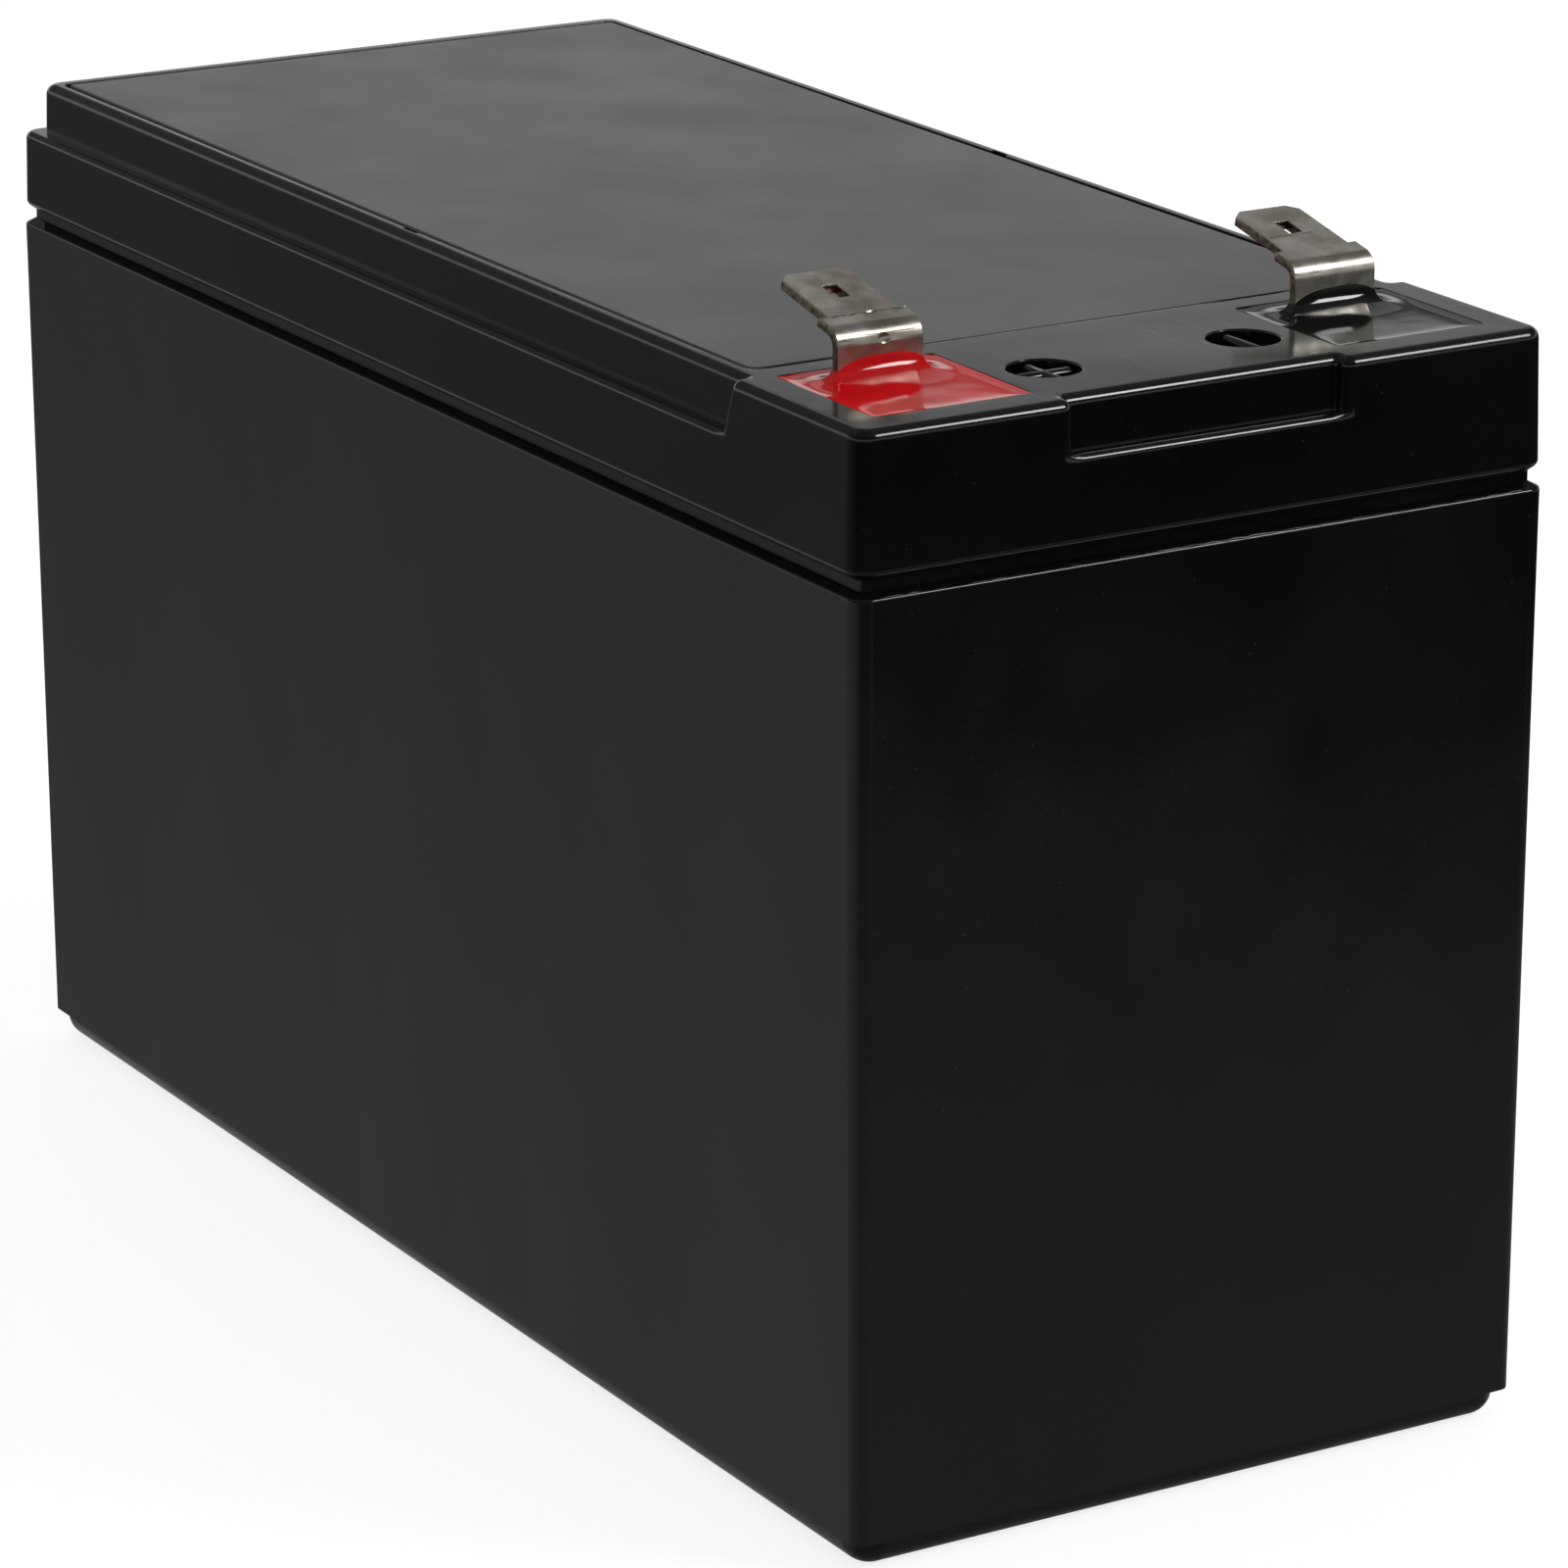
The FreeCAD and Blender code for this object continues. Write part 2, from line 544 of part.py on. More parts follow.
def lid_terminal_spaces():
    """Hollows under and beside each terminal: well, post hole, ring seat, mark and core."""
    spaces = []
    for polarity, side, near, far in (
        ("positive", -1, "-well_outside", "-well_inside"),
        ("negative", 1, "well_inside", "well_outside"),
    ):
        axis = ("post_axis", f"{side} * well_middle")
        spaces.append(slab(f"{polarity}_well", ("well_back", "well_front", near, far),
                           ["well_corner"] * 4, "well_level", f"lid_top - well_level + {PAST}"))
        spaces.append(rod("post_hole", "post_radius + post_clearance",
                          (*axis, f"deck_underside - {PAST}"), f"well_floor + 2 * {PAST}"))
        spaces.append(rod("ring_seat", "seal_radius", (*axis, "seal_level"),
                          f"seal_height + {PAST}"))
        spaces.append(rod("mark_recess", "mark_radius",
                          ("mark_place", f"{side} * mark_offset", "mark_level"),
                          f"mark_depth + {PAST}"))
        inner, outer = "partition_wall / 2", "(well_inside - core_wall)"
        low, high = (f"-{outer}", f"-{inner}") if side < 0 else (inner, outer)
        spaces.append(block("mark_core", ("pocket_front + core_wall", low, f"deck_underside - {PAST}"),
                            ("lip_half_length - inner_lip", high, "lid_top - core_roof")))
    return spaces


def lid_ribs():
    """Ribs that stand on the partitions and close the cells from each other."""
    ribs = [block("long_rib", ("-lip_half_length", "-partition_wall / 2", "partition_top"),
                  ("lip_half_length", "partition_wall / 2", "deck_underside"))]
    for side in (-1, 1):
        middle = f"{side} * cell_pitch / 2"
        ribs.append(block("cross_rib", (f"{middle} - partition_wall / 2", "-lip_half_width",
                                        "partition_top"),
                          (f"{middle} + partition_wall / 2", "lip_half_width", "deck_underside")))
    return ribs


def polarity_marks():
    """Raised bars with round tops in the two recesses: a plus sign and a minus sign."""
    bars = []
    for side, lengthwise in ((-1, True), (-1, False), (1, True)):
        place = ["mark_place", f"{side} * mark_offset", "mark_level + bar_lift"]
        place[0 if lengthwise else 1] += " - bar_length / 2"
        turn = (FreeCAD.Vector(0, 1, 0), 90) if lengthwise else (FreeCAD.Vector(1, 0, 0), -90)
        bar = rod("mark_bar", "bar_radius", place, "bar_length")
        bar.Placement.Rotation = FreeCAD.Rotation(*turn)
        bars.append(bar)
    return bars


def vent_axis(cell):
    """Rules for the place of a cell's vent."""
    across, along = cell_middle(cell)
    return (f"{across} - vent_shift", along)


def vent_walls():
    """Vent nozzles, and the ribs between them that carry the cover."""
    walls = [rod("nozzle", "nozzle_radius", (*vent_axis(cell), "deck_underside"),
                 "nozzle_top - deck_underside") for cell in CELLS]
    walls.append(block("long_cover_rib", ("-pocket_back", "-rib_wall / 2", "deck_underside"),
                       ("pocket_front", "rib_wall / 2", "cover_level")))
    for side in (-1, 1):
        middle = f"{side} * cell_pitch / 2 - vent_shift"
        reach = "(pocket_side - pocket_ledge - rib_passage)"
        walls.append(block("cross_cover_rib", (f"{middle} - rib_wall / 2", f"-{reach}",
                                               "deck_underside"),
                           (f"{middle} + rib_wall / 2", reach, "cover_level")))
    return walls


def make_vent_cover():
    """The loose flat cover that lies flush in the lid."""
    body = doc.addObject("PartDesign::Body", "vent_cover")
    corners = ["cover_back_corner"] + 2 * ["cover_front_corner"] + ["cover_back_corner"]
    tier(body, "cover_plate", ("-cover_back", "cover_front", "-cover_side", "cover_side"),
         corners, "cover_level", "cover_thickness")
    return body


def make_glue_bead():
    """The set glue between the container's tongue and the lid's channel."""
    height = "deck_underside - tongue_top"
    outside = slab("glue_outside", both_ways("skirt_half_length", "skirt_half_width"),
                   ["channel_corner"] * 4, "tongue_top", height)
    inside = block("glue_inside", ("-lip_half_length", "-lip_half_width", f"tongue_top - {PAST}"),
                   ("lip_half_length", "lip_half_width", f"deck_underside + {PAST}"))
    return less("lid_glue_bead", outside, inside)


def make_valve(number, cell):
    """A rubber cap that sits over a vent nozzle, turned from its half section."""
    body = doc.addObject("PartDesign::Body", f"vent_valve_{number}")
    section = drawing(body, "cap_section", "XZ_Plane")
    outline(section, "cap", [
        ("0", "nozzle_top"),
        ("nozzle_radius", "nozzle_top"),
        ("nozzle_radius", "valve_bottom"),
        ("valve_radius", "valve_bottom"),
        ("valve_radius", "valve_top"),
        ("0", "valve_top"),
    ])
    turned = body.newObject("PartDesign::Revolution", "cap")
    turned.Profile = section
    turned.ReferenceAxis = (section, ["V_Axis"])
    return put(body, (*vent_axis(cell), "0"))


def make_terminal(polarity, side):
    """A strip bent into leg, neck and push-on blade; the positive one has a punch mark.

    It is drawn with the blade lying flat, its upper face in the plane of X and Y and the
    sharp corner of the bend at the origin, and then turned so that the leg is upright.
    """
    marked = polarity == "positive"
    body = doc.addObject("PartDesign::Body", "unmarked_strip" if marked else f"{polarity}_terminal")
    section = drawing(body, "strip_section", "XZ_Plane", "-neck_width / 2")
    outline(section, "strip", [
        ("0", "0"),
        ("-neck_reach", "0"),
        ("-neck_reach", "-tab_thickness"),
        ("-inside_run", "-tab_thickness"),
        ("leg_reach * sin(blade_tilt) - tab_thickness * cos(blade_tilt)",
         "-leg_reach * cos(blade_tilt) - tab_thickness * sin(blade_tilt)"),
        ("leg_reach * sin(blade_tilt)", "-leg_reach * cos(blade_tilt)"),
    ])
    strip = pad(body, "strip", section, "neck_width")
    for name, radius, along, up in (
        ("outer_bend", "bend_radius", "0", "0"),
        ("inner_bend", "bend_inside", "-inside_run", "-tab_thickness"),
    ):
        place = (worth(along), None, worth(up))
        bend = body.newObject("PartDesign::Fillet", name)
        bend.Base = (strip, edges_between(strip, place, place))
        bind(bend, "Radius", radius)
        strip = bend
    flat = drawing(body, "blade_flat", "XY_Plane", "-tab_thickness")
    half = "blade_width / 2"
    outline(flat, "blade", [
        ("-bend_run", f"-{half}"),
        ("-bend_run", half),
        ("blade_chamfer - tip_reach", half),
        ("-tip_reach", f"{half} - blade_chamfer"),
        ("-tip_reach", f"blade_chamfer - {half}"),
        ("blade_chamfer - tip_reach", f"-{half}"),
    ])
    outline(flat, "latch", [
        ("-latch_reach - latch_length / 2", "-latch_width / 2"),
        ("-latch_reach + latch_length / 2", "-latch_width / 2"),
        ("-latch_reach + latch_length / 2", "latch_width / 2"),
        ("-latch_reach - latch_length / 2", "latch_width / 2"),
    ])
    pad(body, "blade", flat, "tab_thickness")
    bind(body, "Placement.Rotation.Angle", "blade_tilt")
    body.Placement.Rotation.Axis = FreeCAD.Vector(0, 1, 0)
    put(body, ("leg_face", f"{side} * well_middle", "bend_level + bend_run"))
    if not marked:
        return body
    punch = ball("punch", "punch_ball", (
        "leg_face - bend_radius + punch_reach * cos(punch_angle)",
        f"{side} * well_middle",
        "bend_level + punch_reach * sin(punch_angle)",
    ))
    return less(f"{polarity}_terminal", body, punch)


def make_post(polarity, side):
    """Lead post on the end cell's strap, with a flat where the terminal's leg is soldered."""
    axis = ("post_axis", f"{side} * well_middle")
    shaft = rod(f"{polarity}_shaft", "post_radius", (*axis, "strap_top"), "post_top - strap_top")
    flat = block(f"{polarity}_post_cut",
                 ("post_axis - 2 * post_radius", f"{axis[1]} - 2 * post_radius", "leg_foot"),
                 ("leg_face", f"{axis[1]} + 2 * post_radius", f"post_top + {PAST}"))
    return less(f"{polarity}_post", shaft, flat)


def make_seal(polarity, side, terminal, post):
    """Epoxy poured round post and leg; it creeps up the leg in a hollow fillet."""
    body = doc.addObject("PartDesign::Body", f"{polarity}_pour")
    near, far = ("-well_outside", "-well_inside") if side < 0 else ("well_inside", "well_outside")
    tier(body, "pool", ("well_back", "well_front", near, far), ["well_corner"] * 4,
         "well_level", "epoxy_level - well_level")
    middle = f"{side} * well_middle"
    low = ("leg_face - tab_thickness", f"{middle} - neck_width / 2", "epoxy_level")
    high = ("leg_face", f"{middle} + neck_width / 2", f"epoxy_level + epoxy_climb + {PAST}")
    leg = block("leg_mould", low, high, body)
    around = (high[0], high[1], low[2])
    creep = body.newObject("PartDesign::Fillet", "creep")
    creep.Base = (leg, edges_between(leg, [worth(rule) for rule in low],
                                     [worth(rule) for rule in around]))
    bind(creep, "Radius", "epoxy_climb")
    return less(f"{polarity}_seal", body, joined(f"{polarity}_core", [terminal, post]))


def make_post_ring(polarity, side):
    """Rubber ring that keeps acid from the epoxy."""
    foot = ("post_axis", f"{side} * well_middle", "seal_level")
    return tube(f"{polarity}_post_ring", "seal_radius", "post_radius", foot, "seal_height")


def make_plates(polarity, number, cell, post):
    """One lead casting of a cell: strap, plates with their lugs, and a link or the post.

    It is drawn about the cell's middle. The positive straps of the near row and the negative
    ones of the far row lie towards the terminals.
    """
    row = cell[1]
    side = -row if polarity == "positive" else row
    name = f"{polarity}_plates_{number}"
    body = doc.addObject("PartDesign::Body", name if post is None else f"{name}_without_post")
    count = f"{polarity}_count"
    thickness = f"{polarity}_thickness"
    spread = f"({count} - 1) * plate_pitch"
    lug = f"{side} * lug_place"
    block("strap", (f"{lug} - strap_width / 2", f"-({spread} + {thickness}) / 2", "strap_bottom"),
          (f"{lug} + strap_width / 2", f"({spread} + {thickness}) / 2", "strap_top"), body)
    section = drawing(body, "plate_section", "XZ_Plane", f"({spread} - {thickness}) / 2")
    outline(section, "plate", [
        ("-plate_half_length", "plate_bottom"),
        ("plate_half_length", "plate_bottom"),
        ("plate_half_length", "plate_top"),
        (f"{lug} + lug_width / 2", "plate_top"),
        (f"{lug} + lug_width / 2", "strap_bottom"),
        (f"{lug} - lug_width / 2", "strap_bottom"),
        (f"{lug} - lug_width / 2", "plate_top"),
        ("-plate_half_length", "plate_top"),
    ])
    plate = pad(body, "plate", section, thickness)
    doc.recompute()
    stack = body.newObject("PartDesign::LinearPattern", "stack")
    stack.Originals = [plate]
    stack.Direction = (origin_feature(body, "Y_Axis"), [""])
    bind(stack, "Length", spread)
    bind(stack, "Occurrences", count)
    body.Tip = stack
    if post is None:
        link_end = f"{side} * cell_pitch / 2"
        low = (min((lug, link_end), key=worth), "-link_width / 2", "strap_top")
        high = (max((lug, link_end), key=worth), "link_width / 2", "partition_top")
        if (cell[0], side) == (-1, -1):
            middle_wall = f"{-row} * row_place"
            low = (f"{lug} - link_width / 2", min(("0", middle_wall), key=worth), "strap_top")
            high = (f"{lug} + link_width / 2", max(("0", middle_wall), key=worth), "partition_top")
        block("link", low, high, body)
    put(body, (*cell_middle(cell), "0"))
    if post is None:
        return body
    return joined(name, [body, post])


def make_mat(number, cell, plate):
    """A glass mat, folded under the foot of one positive plate of a cell."""
    body = doc.addObject("PartDesign::Body", f"glass_mat_{number}_{plate + 1}")
    section = drawing(body, "mat_section", "YZ_Plane", "-(plate_half_length + mat_margin)")
    outline(section, "fold", [
        ("mat_inside", "mat_top"),
        ("mat_inside", "plate_bottom"),
        ("-mat_inside", "plate_bottom"),
        ("-mat_inside", "mat_top"),
        ("-mat_outside", "mat_top"),
        ("-mat_outside", "case_floor + mat_bevel"),
        ("mat_bevel - mat_outside", "case_floor"),
        ("mat_outside - mat_bevel", "case_floor"),
        ("mat_outside", "case_floor + mat_bevel"),
        ("mat_outside", "mat_top"),
    ])
    pad(body, "mat", section, "2 * (plate_half_length + mat_margin)")
    across, along = cell_middle(cell)
    shift = f"({plate} - (positive_count - 1) / 2) * plate_pitch"
    return put(body, (across, f"{along} + {shift}", "0"))


nodes = [make_container(), make_lid(), make_vent_cover(), make_glue_bead()]
posts = {}
for polarity, side in (("positive", -1), ("negative", 1)):
    terminal = make_terminal(polarity, side)
    posts[polarity] = make_post(polarity, side)
    nodes.append(terminal)
    nodes.append(make_seal(polarity, side, terminal, posts[polarity]))
    nodes.append(make_post_ring(polarity, side))
for number, cell in enumerate(CELLS, start=1):
    nodes.append(make_valve(number, cell))
    for polarity, end_cell in (("positive", CELLS[0]), ("negative", CELLS[-1])):
        post = posts[polarity] if cell == end_cell else None
        nodes.append(make_plates(polarity, number, cell, post))
    for plate in range(int(worth("positive_count"))):
        nodes.append(make_mat(number, cell, plate))
doc.recompute()

for thing in doc.Objects:
    if "Invalid" in thing.State or "Error" in thing.State:
        raise RuntimeError(f"{thing.Name} did not build: {thing.State}")
for node in nodes:
    if node.Shape.isNull() or not node.Shape.isValid() or len(node.Shape.Solids) != 1:
        raise RuntimeError(f"{node.Label} is not one sound solid")

os.makedirs("parts", exist_ok=True)
for node in nodes:
    node.Shape.exportStep(f"parts/{node.Label}.step")
    print(node.Label, f"{node.Shape.Volume / 1000:.3f} cm3")
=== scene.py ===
# %% [markdown]
# # A sealed lead acid battery, dressed for its portrait
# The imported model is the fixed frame: a container with six cells, a glued lid, a loose vent
# cover, and two bent tabs that stand in coloured epoxy. Everything here is in metres and in
# the frame's own axes: +X is the end with the terminals, +Y the negative side, +Z up.
# We model the shells that the eye meets, then give every piece its finish, and last build a
# small studio round it.

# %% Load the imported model
import json
import math
import random
from contextlib import contextmanager

import bmesh
import bpy
from mathutils import Matrix, Vector

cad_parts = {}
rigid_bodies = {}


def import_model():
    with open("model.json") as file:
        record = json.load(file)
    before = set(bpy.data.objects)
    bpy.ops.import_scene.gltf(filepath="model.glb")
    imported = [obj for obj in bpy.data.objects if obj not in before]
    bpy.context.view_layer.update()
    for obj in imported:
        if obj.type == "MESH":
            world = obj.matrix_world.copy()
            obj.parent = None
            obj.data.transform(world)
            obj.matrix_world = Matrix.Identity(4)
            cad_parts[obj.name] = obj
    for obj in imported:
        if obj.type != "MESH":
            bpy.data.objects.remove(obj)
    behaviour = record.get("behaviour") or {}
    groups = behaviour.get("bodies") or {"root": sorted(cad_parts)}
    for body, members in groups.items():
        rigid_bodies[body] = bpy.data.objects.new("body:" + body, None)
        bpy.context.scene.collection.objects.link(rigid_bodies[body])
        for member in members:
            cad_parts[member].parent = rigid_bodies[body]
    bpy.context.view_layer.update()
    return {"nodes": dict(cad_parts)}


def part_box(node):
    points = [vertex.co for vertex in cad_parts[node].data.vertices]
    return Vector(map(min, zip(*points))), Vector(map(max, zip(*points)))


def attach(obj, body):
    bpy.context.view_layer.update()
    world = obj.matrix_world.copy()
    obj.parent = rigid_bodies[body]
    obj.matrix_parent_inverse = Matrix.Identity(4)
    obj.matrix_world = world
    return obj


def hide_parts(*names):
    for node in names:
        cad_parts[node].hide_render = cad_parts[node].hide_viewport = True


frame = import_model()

print("nodes in the frame:", len(frame["nodes"]))

# %% [markdown]
# ## Measuring before modelling
# A moulded box looks right only when its steps and gaps are right, so the driving places are
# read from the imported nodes. What a node's box can't tell, such as a ledge half way up or
# the radius of an edge, is a named size in millimetres.

# %% Read the places from the frame
MM = 0.001

case_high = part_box("container")[1]
half_length, half_width, lid_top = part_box("lid")[1]
cover_low, cover_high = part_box("vent_cover")
print(f"case {2000 * half_length:.1f} x {2000 * half_width:.1f}, lid top {1000 * lid_top:.1f} mm")

# %% [markdown]
# ## A few hand tools
# The shapes are made as by hand: a primitive, then extrude, inset, bevel and bisect in edit
# mode. An operator works on whatever is selected, and by hand the mouse selects it. Here a
# test of place or direction does, so that a face is picked because it lies at the top, and
# not because it has a number.

# %% Helpers for edit mode
def bare():
    """Leaves nothing selected."""
    for thing in bpy.context.selected_objects:
        thing.select_set(False)


def block(name, low, high):
    """A box between two corners, with its place in its mesh."""
    bare()
    low, high = Vector(low), Vector(high)
    bpy.ops.mesh.primitive_cube_add(size=1, location=(low + high) / 2)
    piece = bpy.context.object
    piece.name = name
    piece.scale = high - low
    bpy.ops.object.transform_apply(location=True, rotation=True, scale=True)
    return piece


@contextmanager
def editing(piece):
    """Opens one piece in edit mode and closes it again."""
    bare()
    bpy.context.view_layer.objects.active = piece
    piece.select_set(True)
    bpy.ops.object.mode_set(mode="EDIT")
    yield
    bpy.ops.object.mode_set(mode="OBJECT")


def pick(kind, test):
    """In edit mode, selects the vertices, edges or faces whose place passes a test."""
    bpy.ops.mesh.select_mode(type=kind)
    bpy.ops.mesh.select_all(action="DESELECT")
    mesh = bmesh.from_edit_mesh(bpy.context.edit_object.data)
    mesh.normal_update()
    found = [item for item in {"VERT": mesh.verts, "EDGE": mesh.edges, "FACE": mesh.faces}[kind]
             if test(item)]
    for item in found:
        item.select_set(True)
    mesh.select_flush_mode()
    bmesh.update_edit_mesh(bpy.context.edit_object.data)
    return len(found)


def middle(item):
    """The middle of an edge or face."""
    return sum((v.co for v in item.verts), Vector()) / len(item.verts)


NEAR = 0.01 * MM


def at(value, place):
    """True if a coordinate lies at a place."""
    return abs(value - place) < NEAR


def level(item, height):
    """True if an edge or face lies flat at one height."""
    return all(at(v.co.z, height) for v in item.verts)


def upright(edge):
    """True if an edge runs up and down."""
    way = edge.verts[1].co - edge.verts[0].co
    return abs(way.z) > 0.9 * way.length


def push(distance):
    """Extrudes the picked faces upwards, or downwards by a negative distance."""
    bpy.ops.mesh.extrude_region_move(TRANSFORM_OT_translate={"value": (0, 0, distance)})


def slice_faces(test, cuts, snap=0.1 * MM):
    """Cuts the faces that pass a test along planes, each given as an axis number and a place.
    A vertex nearer to a plane than the snap is taken to lie on it."""
    for axis, place in cuts:
        pick("FACE", test)
        point, way = Vector(), Vector()
        point[axis], way[axis] = place, 1
        bpy.ops.mesh.bisect(plane_co=point, plane_no=way, threshold=snap)


def finished(piece, modifier, **settings):
    """Adds a modifier with its settings and applies it."""
    bare()
    bpy.context.view_layer.objects.active = piece
    piece.select_set(True)
    made = piece.modifiers.new(modifier.title(), modifier)
    for name, value in settings.items():
        setattr(made, name, value)
    bpy.ops.object.modifier_apply(modifier=made.name)
    return piece


def rounded(piece, width, segments, rules):
    """Rounds edges in one go. Rules are pairs of radius and test, and the first that fits holds."""
    mesh = bmesh.new()
    mesh.from_mesh(piece.data)
    weights = mesh.edges.layers.float
    weight = weights.get("bevel_weight_edge") or weights.new("bevel_weight_edge")
    counts = [0] * len(rules)
    for edge in mesh.edges:
        fits = [number for number, (radius, test) in enumerate(rules) if test(edge)]
        edge[weight] = rules[fits[0]][0] / width if fits else 0
        if fits:
            counts[fits[0]] += 1
    print(piece.name, "edges to round:", counts)
    mesh.to_mesh(piece.data)
    mesh.free()
    return finished(piece, "BEVEL", limit_method="WEIGHT", width=width, segments=segments,
                    use_clamp_overlap=False, miter_outer="MITER_SHARP")


def sharp_turn(edge):
    """True where two faces meet at more than about 45 degrees."""
    return len(edge.link_faces) == 2 and edge.calc_face_angle() > math.radians(45)


def smooth(piece, angle=35, weight=100):
    """Smooth shading, with the normals of the large faces kept flat as far as the weight says."""
    bare()
    bpy.context.view_layer.objects.active = piece
    piece.select_set(True)
    bpy.ops.object.shade_smooth_by_angle(angle=math.radians(angle))
    return finished(piece, "WEIGHTED_NORMAL", keep_sharp=True, weight=weight)


# %% [markdown]
# ## The lid
# The real lid is one injection moulding: a lower tier as large as the container, an upper
# tier set back from it, and two full-size ears under the terminals, so that the terminals
# have enough plastic round them. Every wall leans inwards as it rises, or the moulding
# wouldn't leave its tool, and the back edge of each ear slants. It could be cut from a solid
# block, but it is quicker to grow it: slice the top of a box along the lines of the plan, pick
# the parts that rise and extrude.

# %% Lid: box, corners, skirt and hollow
mouth = 82.75 * MM
ledge = 89.5 * MM
deck_underside = 85.0 * MM
lid_corner = 2.0 * MM
skirt_inset, skirt_drop = 0.9 * MM, 0.7 * MM
CORNER_STEPS = 8

lid = block("lid_shell", (-half_length, -half_width, mouth), (half_length, half_width, ledge))
with editing(lid):
    pick("EDGE", upright)
    bpy.ops.mesh.bevel(offset=lid_corner, segments=CORNER_STEPS, affect="EDGES")
    pick("FACE", lambda face: level(face, mouth))
    bpy.ops.mesh.inset(thickness=skirt_inset, depth=skirt_drop)
    push(deck_underside - mouth + skirt_drop)
print("lid body:", len(lid.data.polygons), "faces")

# %% Lid: slice the plan and raise the upper tier with its ears
tier_back, tier_front, tier_side = 74.3 * MM, 74.05 * MM, 31.0 * MM
top_round = 0.95 * MM
ear_back, ear_inside = 55.5 * MM, 12.4 * MM


def rises(face):
    """True for the parts of the plan that belong to the upper tier or to an ear."""
    place = middle(face)
    in_tier = -tier_back < place.x < tier_front and abs(place.y) < tier_side
    in_ear = place.x > ear_back and abs(place.y) > ear_inside
    return level(face, ledge) and (in_tier or in_ear)


cuts = [(0, -tier_back), (0, ear_back), (0, tier_front)]
cuts += [(1, side * place) for place in (tier_side, ear_inside) for side in (-1, 1)]
with editing(lid):
    slice_faces(lambda face: level(face, ledge), cuts)
    pick("FACE", rises)
    push(lid_top - top_round - ledge)
    pick("FACE", lambda face: level(face, ledge) or level(face, lid_top - top_round))
    bpy.ops.mesh.dissolve_limited(angle_limit=math.radians(1))
print("lid with tiers:", len(lid.data.polygons), "faces")

# %% Lid: let every wall lean inwards as it rises
draft = math.tan(math.radians(1.4))


def lean(piece, bottom, slope):
    """Moves each wall against its outward direction, in step with its height."""
    mesh = bmesh.new()
    mesh.from_mesh(piece.data)
    mesh.normal_update()
    moves = []
    for vert in mesh.verts:
        walls = [face.normal for face in vert.link_faces if abs(face.normal.z) < 0.1]
        if vert.co.z > bottom and walls:
            out = sum(walls, Vector()).normalized()
            reach = min(out.dot(wall) for wall in walls)
            moves.append((vert, out * (slope * (bottom - vert.co.z) / reach)))
    for vert, move in moves:
        vert.co += move
    mesh.to_mesh(piece.data)
    mesh.free()


lean(lid, mouth, draft)
print(f"walls leant in by {1000 * draft * (ledge - mouth):.2f} mm at the ledge")

# %% Lid: slant the back edges of the ears
ear_slant, lean_slack = 1.3 * MM, 0.3 * MM

# The lean has already moved the corners that are looked for, by less than the slack.
with editing(lid):
    moved = pick("VERT", lambda vert: at(vert.co.z, ledge) and abs(vert.co.y) > tier_side - MM
                 and abs(vert.co.x - ear_back) < lean_slack)
    bpy.ops.transform.translate(value=(-ear_slant, 0, 0))
print("feet of the ears moved back:", moved, "points")

# %% Lid: round its edges
step_round, inner_round = 1.0 * MM, 0.22 * MM
tier_corner, ledge_round, mouth_round, base_round = 1.8 * MM, 0.6 * MM, 0.25 * MM, 0.25 * MM
ROUND_STEPS = 6


def step_edge(edge):
    """True for an upright edge of the upper part that has to be rounded."""
    return middle(edge).z > ledge + NEAR and upright(edge) and sharp_turn(edge)


rounded(lid, tier_corner, ROUND_STEPS, [
    (inner_round, lambda edge: step_edge(edge) and not edge.is_convex),
    (tier_corner, lambda edge: step_edge(edge) and middle(edge).x < 0),
    (step_round, step_edge),
])


def crown(radius, steps):
    """Rounds the rim of a picked flat face: insets that climb a quarter circle."""
    turns = [math.radians(90) * step / steps for step in range(steps + 1)]
    for start, end in zip(turns, turns[1:]):
        bpy.ops.mesh.inset(thickness=radius * (math.cos(start) - math.cos(end)),
                           depth=radius * (math.sin(end) - math.sin(start)))


with editing(lid):
    print("top faces:", pick("FACE", lambda face: level(face, lid_top - top_round)))
    crown(top_round, ROUND_STEPS)
print("lid rounded:", len(lid.data.polygons), "faces")

# %% [markdown]
# ## Pockets, wells and marks
# On the real tool every hollow is a steel core with a slightly flared neck, because a sharp rim
# would chip. The cutters below are the same cores: a short block above the lid, whose lower
# face is inset along a quarter circle and then pushed down to the hollow's floor. Beside them
# stand plain cores for what hides under the cover.

# %% Lid: cutters with a flared neck
ABOVE, NECK = 1.0 * MM, 0.01 * MM
LIP_STEPS = 4


def flare(lip, floor):
    """Sinks the picked lower face of a cutter: a quarter circle first, then straight down."""
    turns = [math.radians(90) * step / LIP_STEPS for step in range(LIP_STEPS + 1)]
    for start, end in zip(turns, turns[1:]):
        bpy.ops.mesh.inset(thickness=lip * (math.sin(end) - math.sin(start)),
                           depth=lip * (math.cos(start) - math.cos(end)))
    push(floor - lid_top - NECK + lip)


def core(low, high, floor, lip, front_corner, back_corner):
    """A cutter for a hollow in the lid's top, from the corners of its plan."""
    flared = Vector((lip, lip))
    low, high = Vector(low) - flared, Vector(high) + flared
    tool = block("core", (*low, lid_top + NECK), (*high, lid_top + ABOVE))
    with editing(tool):
        for radius, ahead in ((front_corner, True), (back_corner, False)):
            pick("EDGE", lambda edge: upright(edge) and len(edge.link_faces) == 2
                 and (middle(edge).x > (low.x + high.x) / 2) == ahead)
            bpy.ops.mesh.bevel(offset=radius + lip, segments=LIP_STEPS + 2, affect="EDGES")
        pick("FACE", lambda face: level(face, lid_top + NECK) and face.normal.z < 0)
        flare(lip, floor)
    return tool


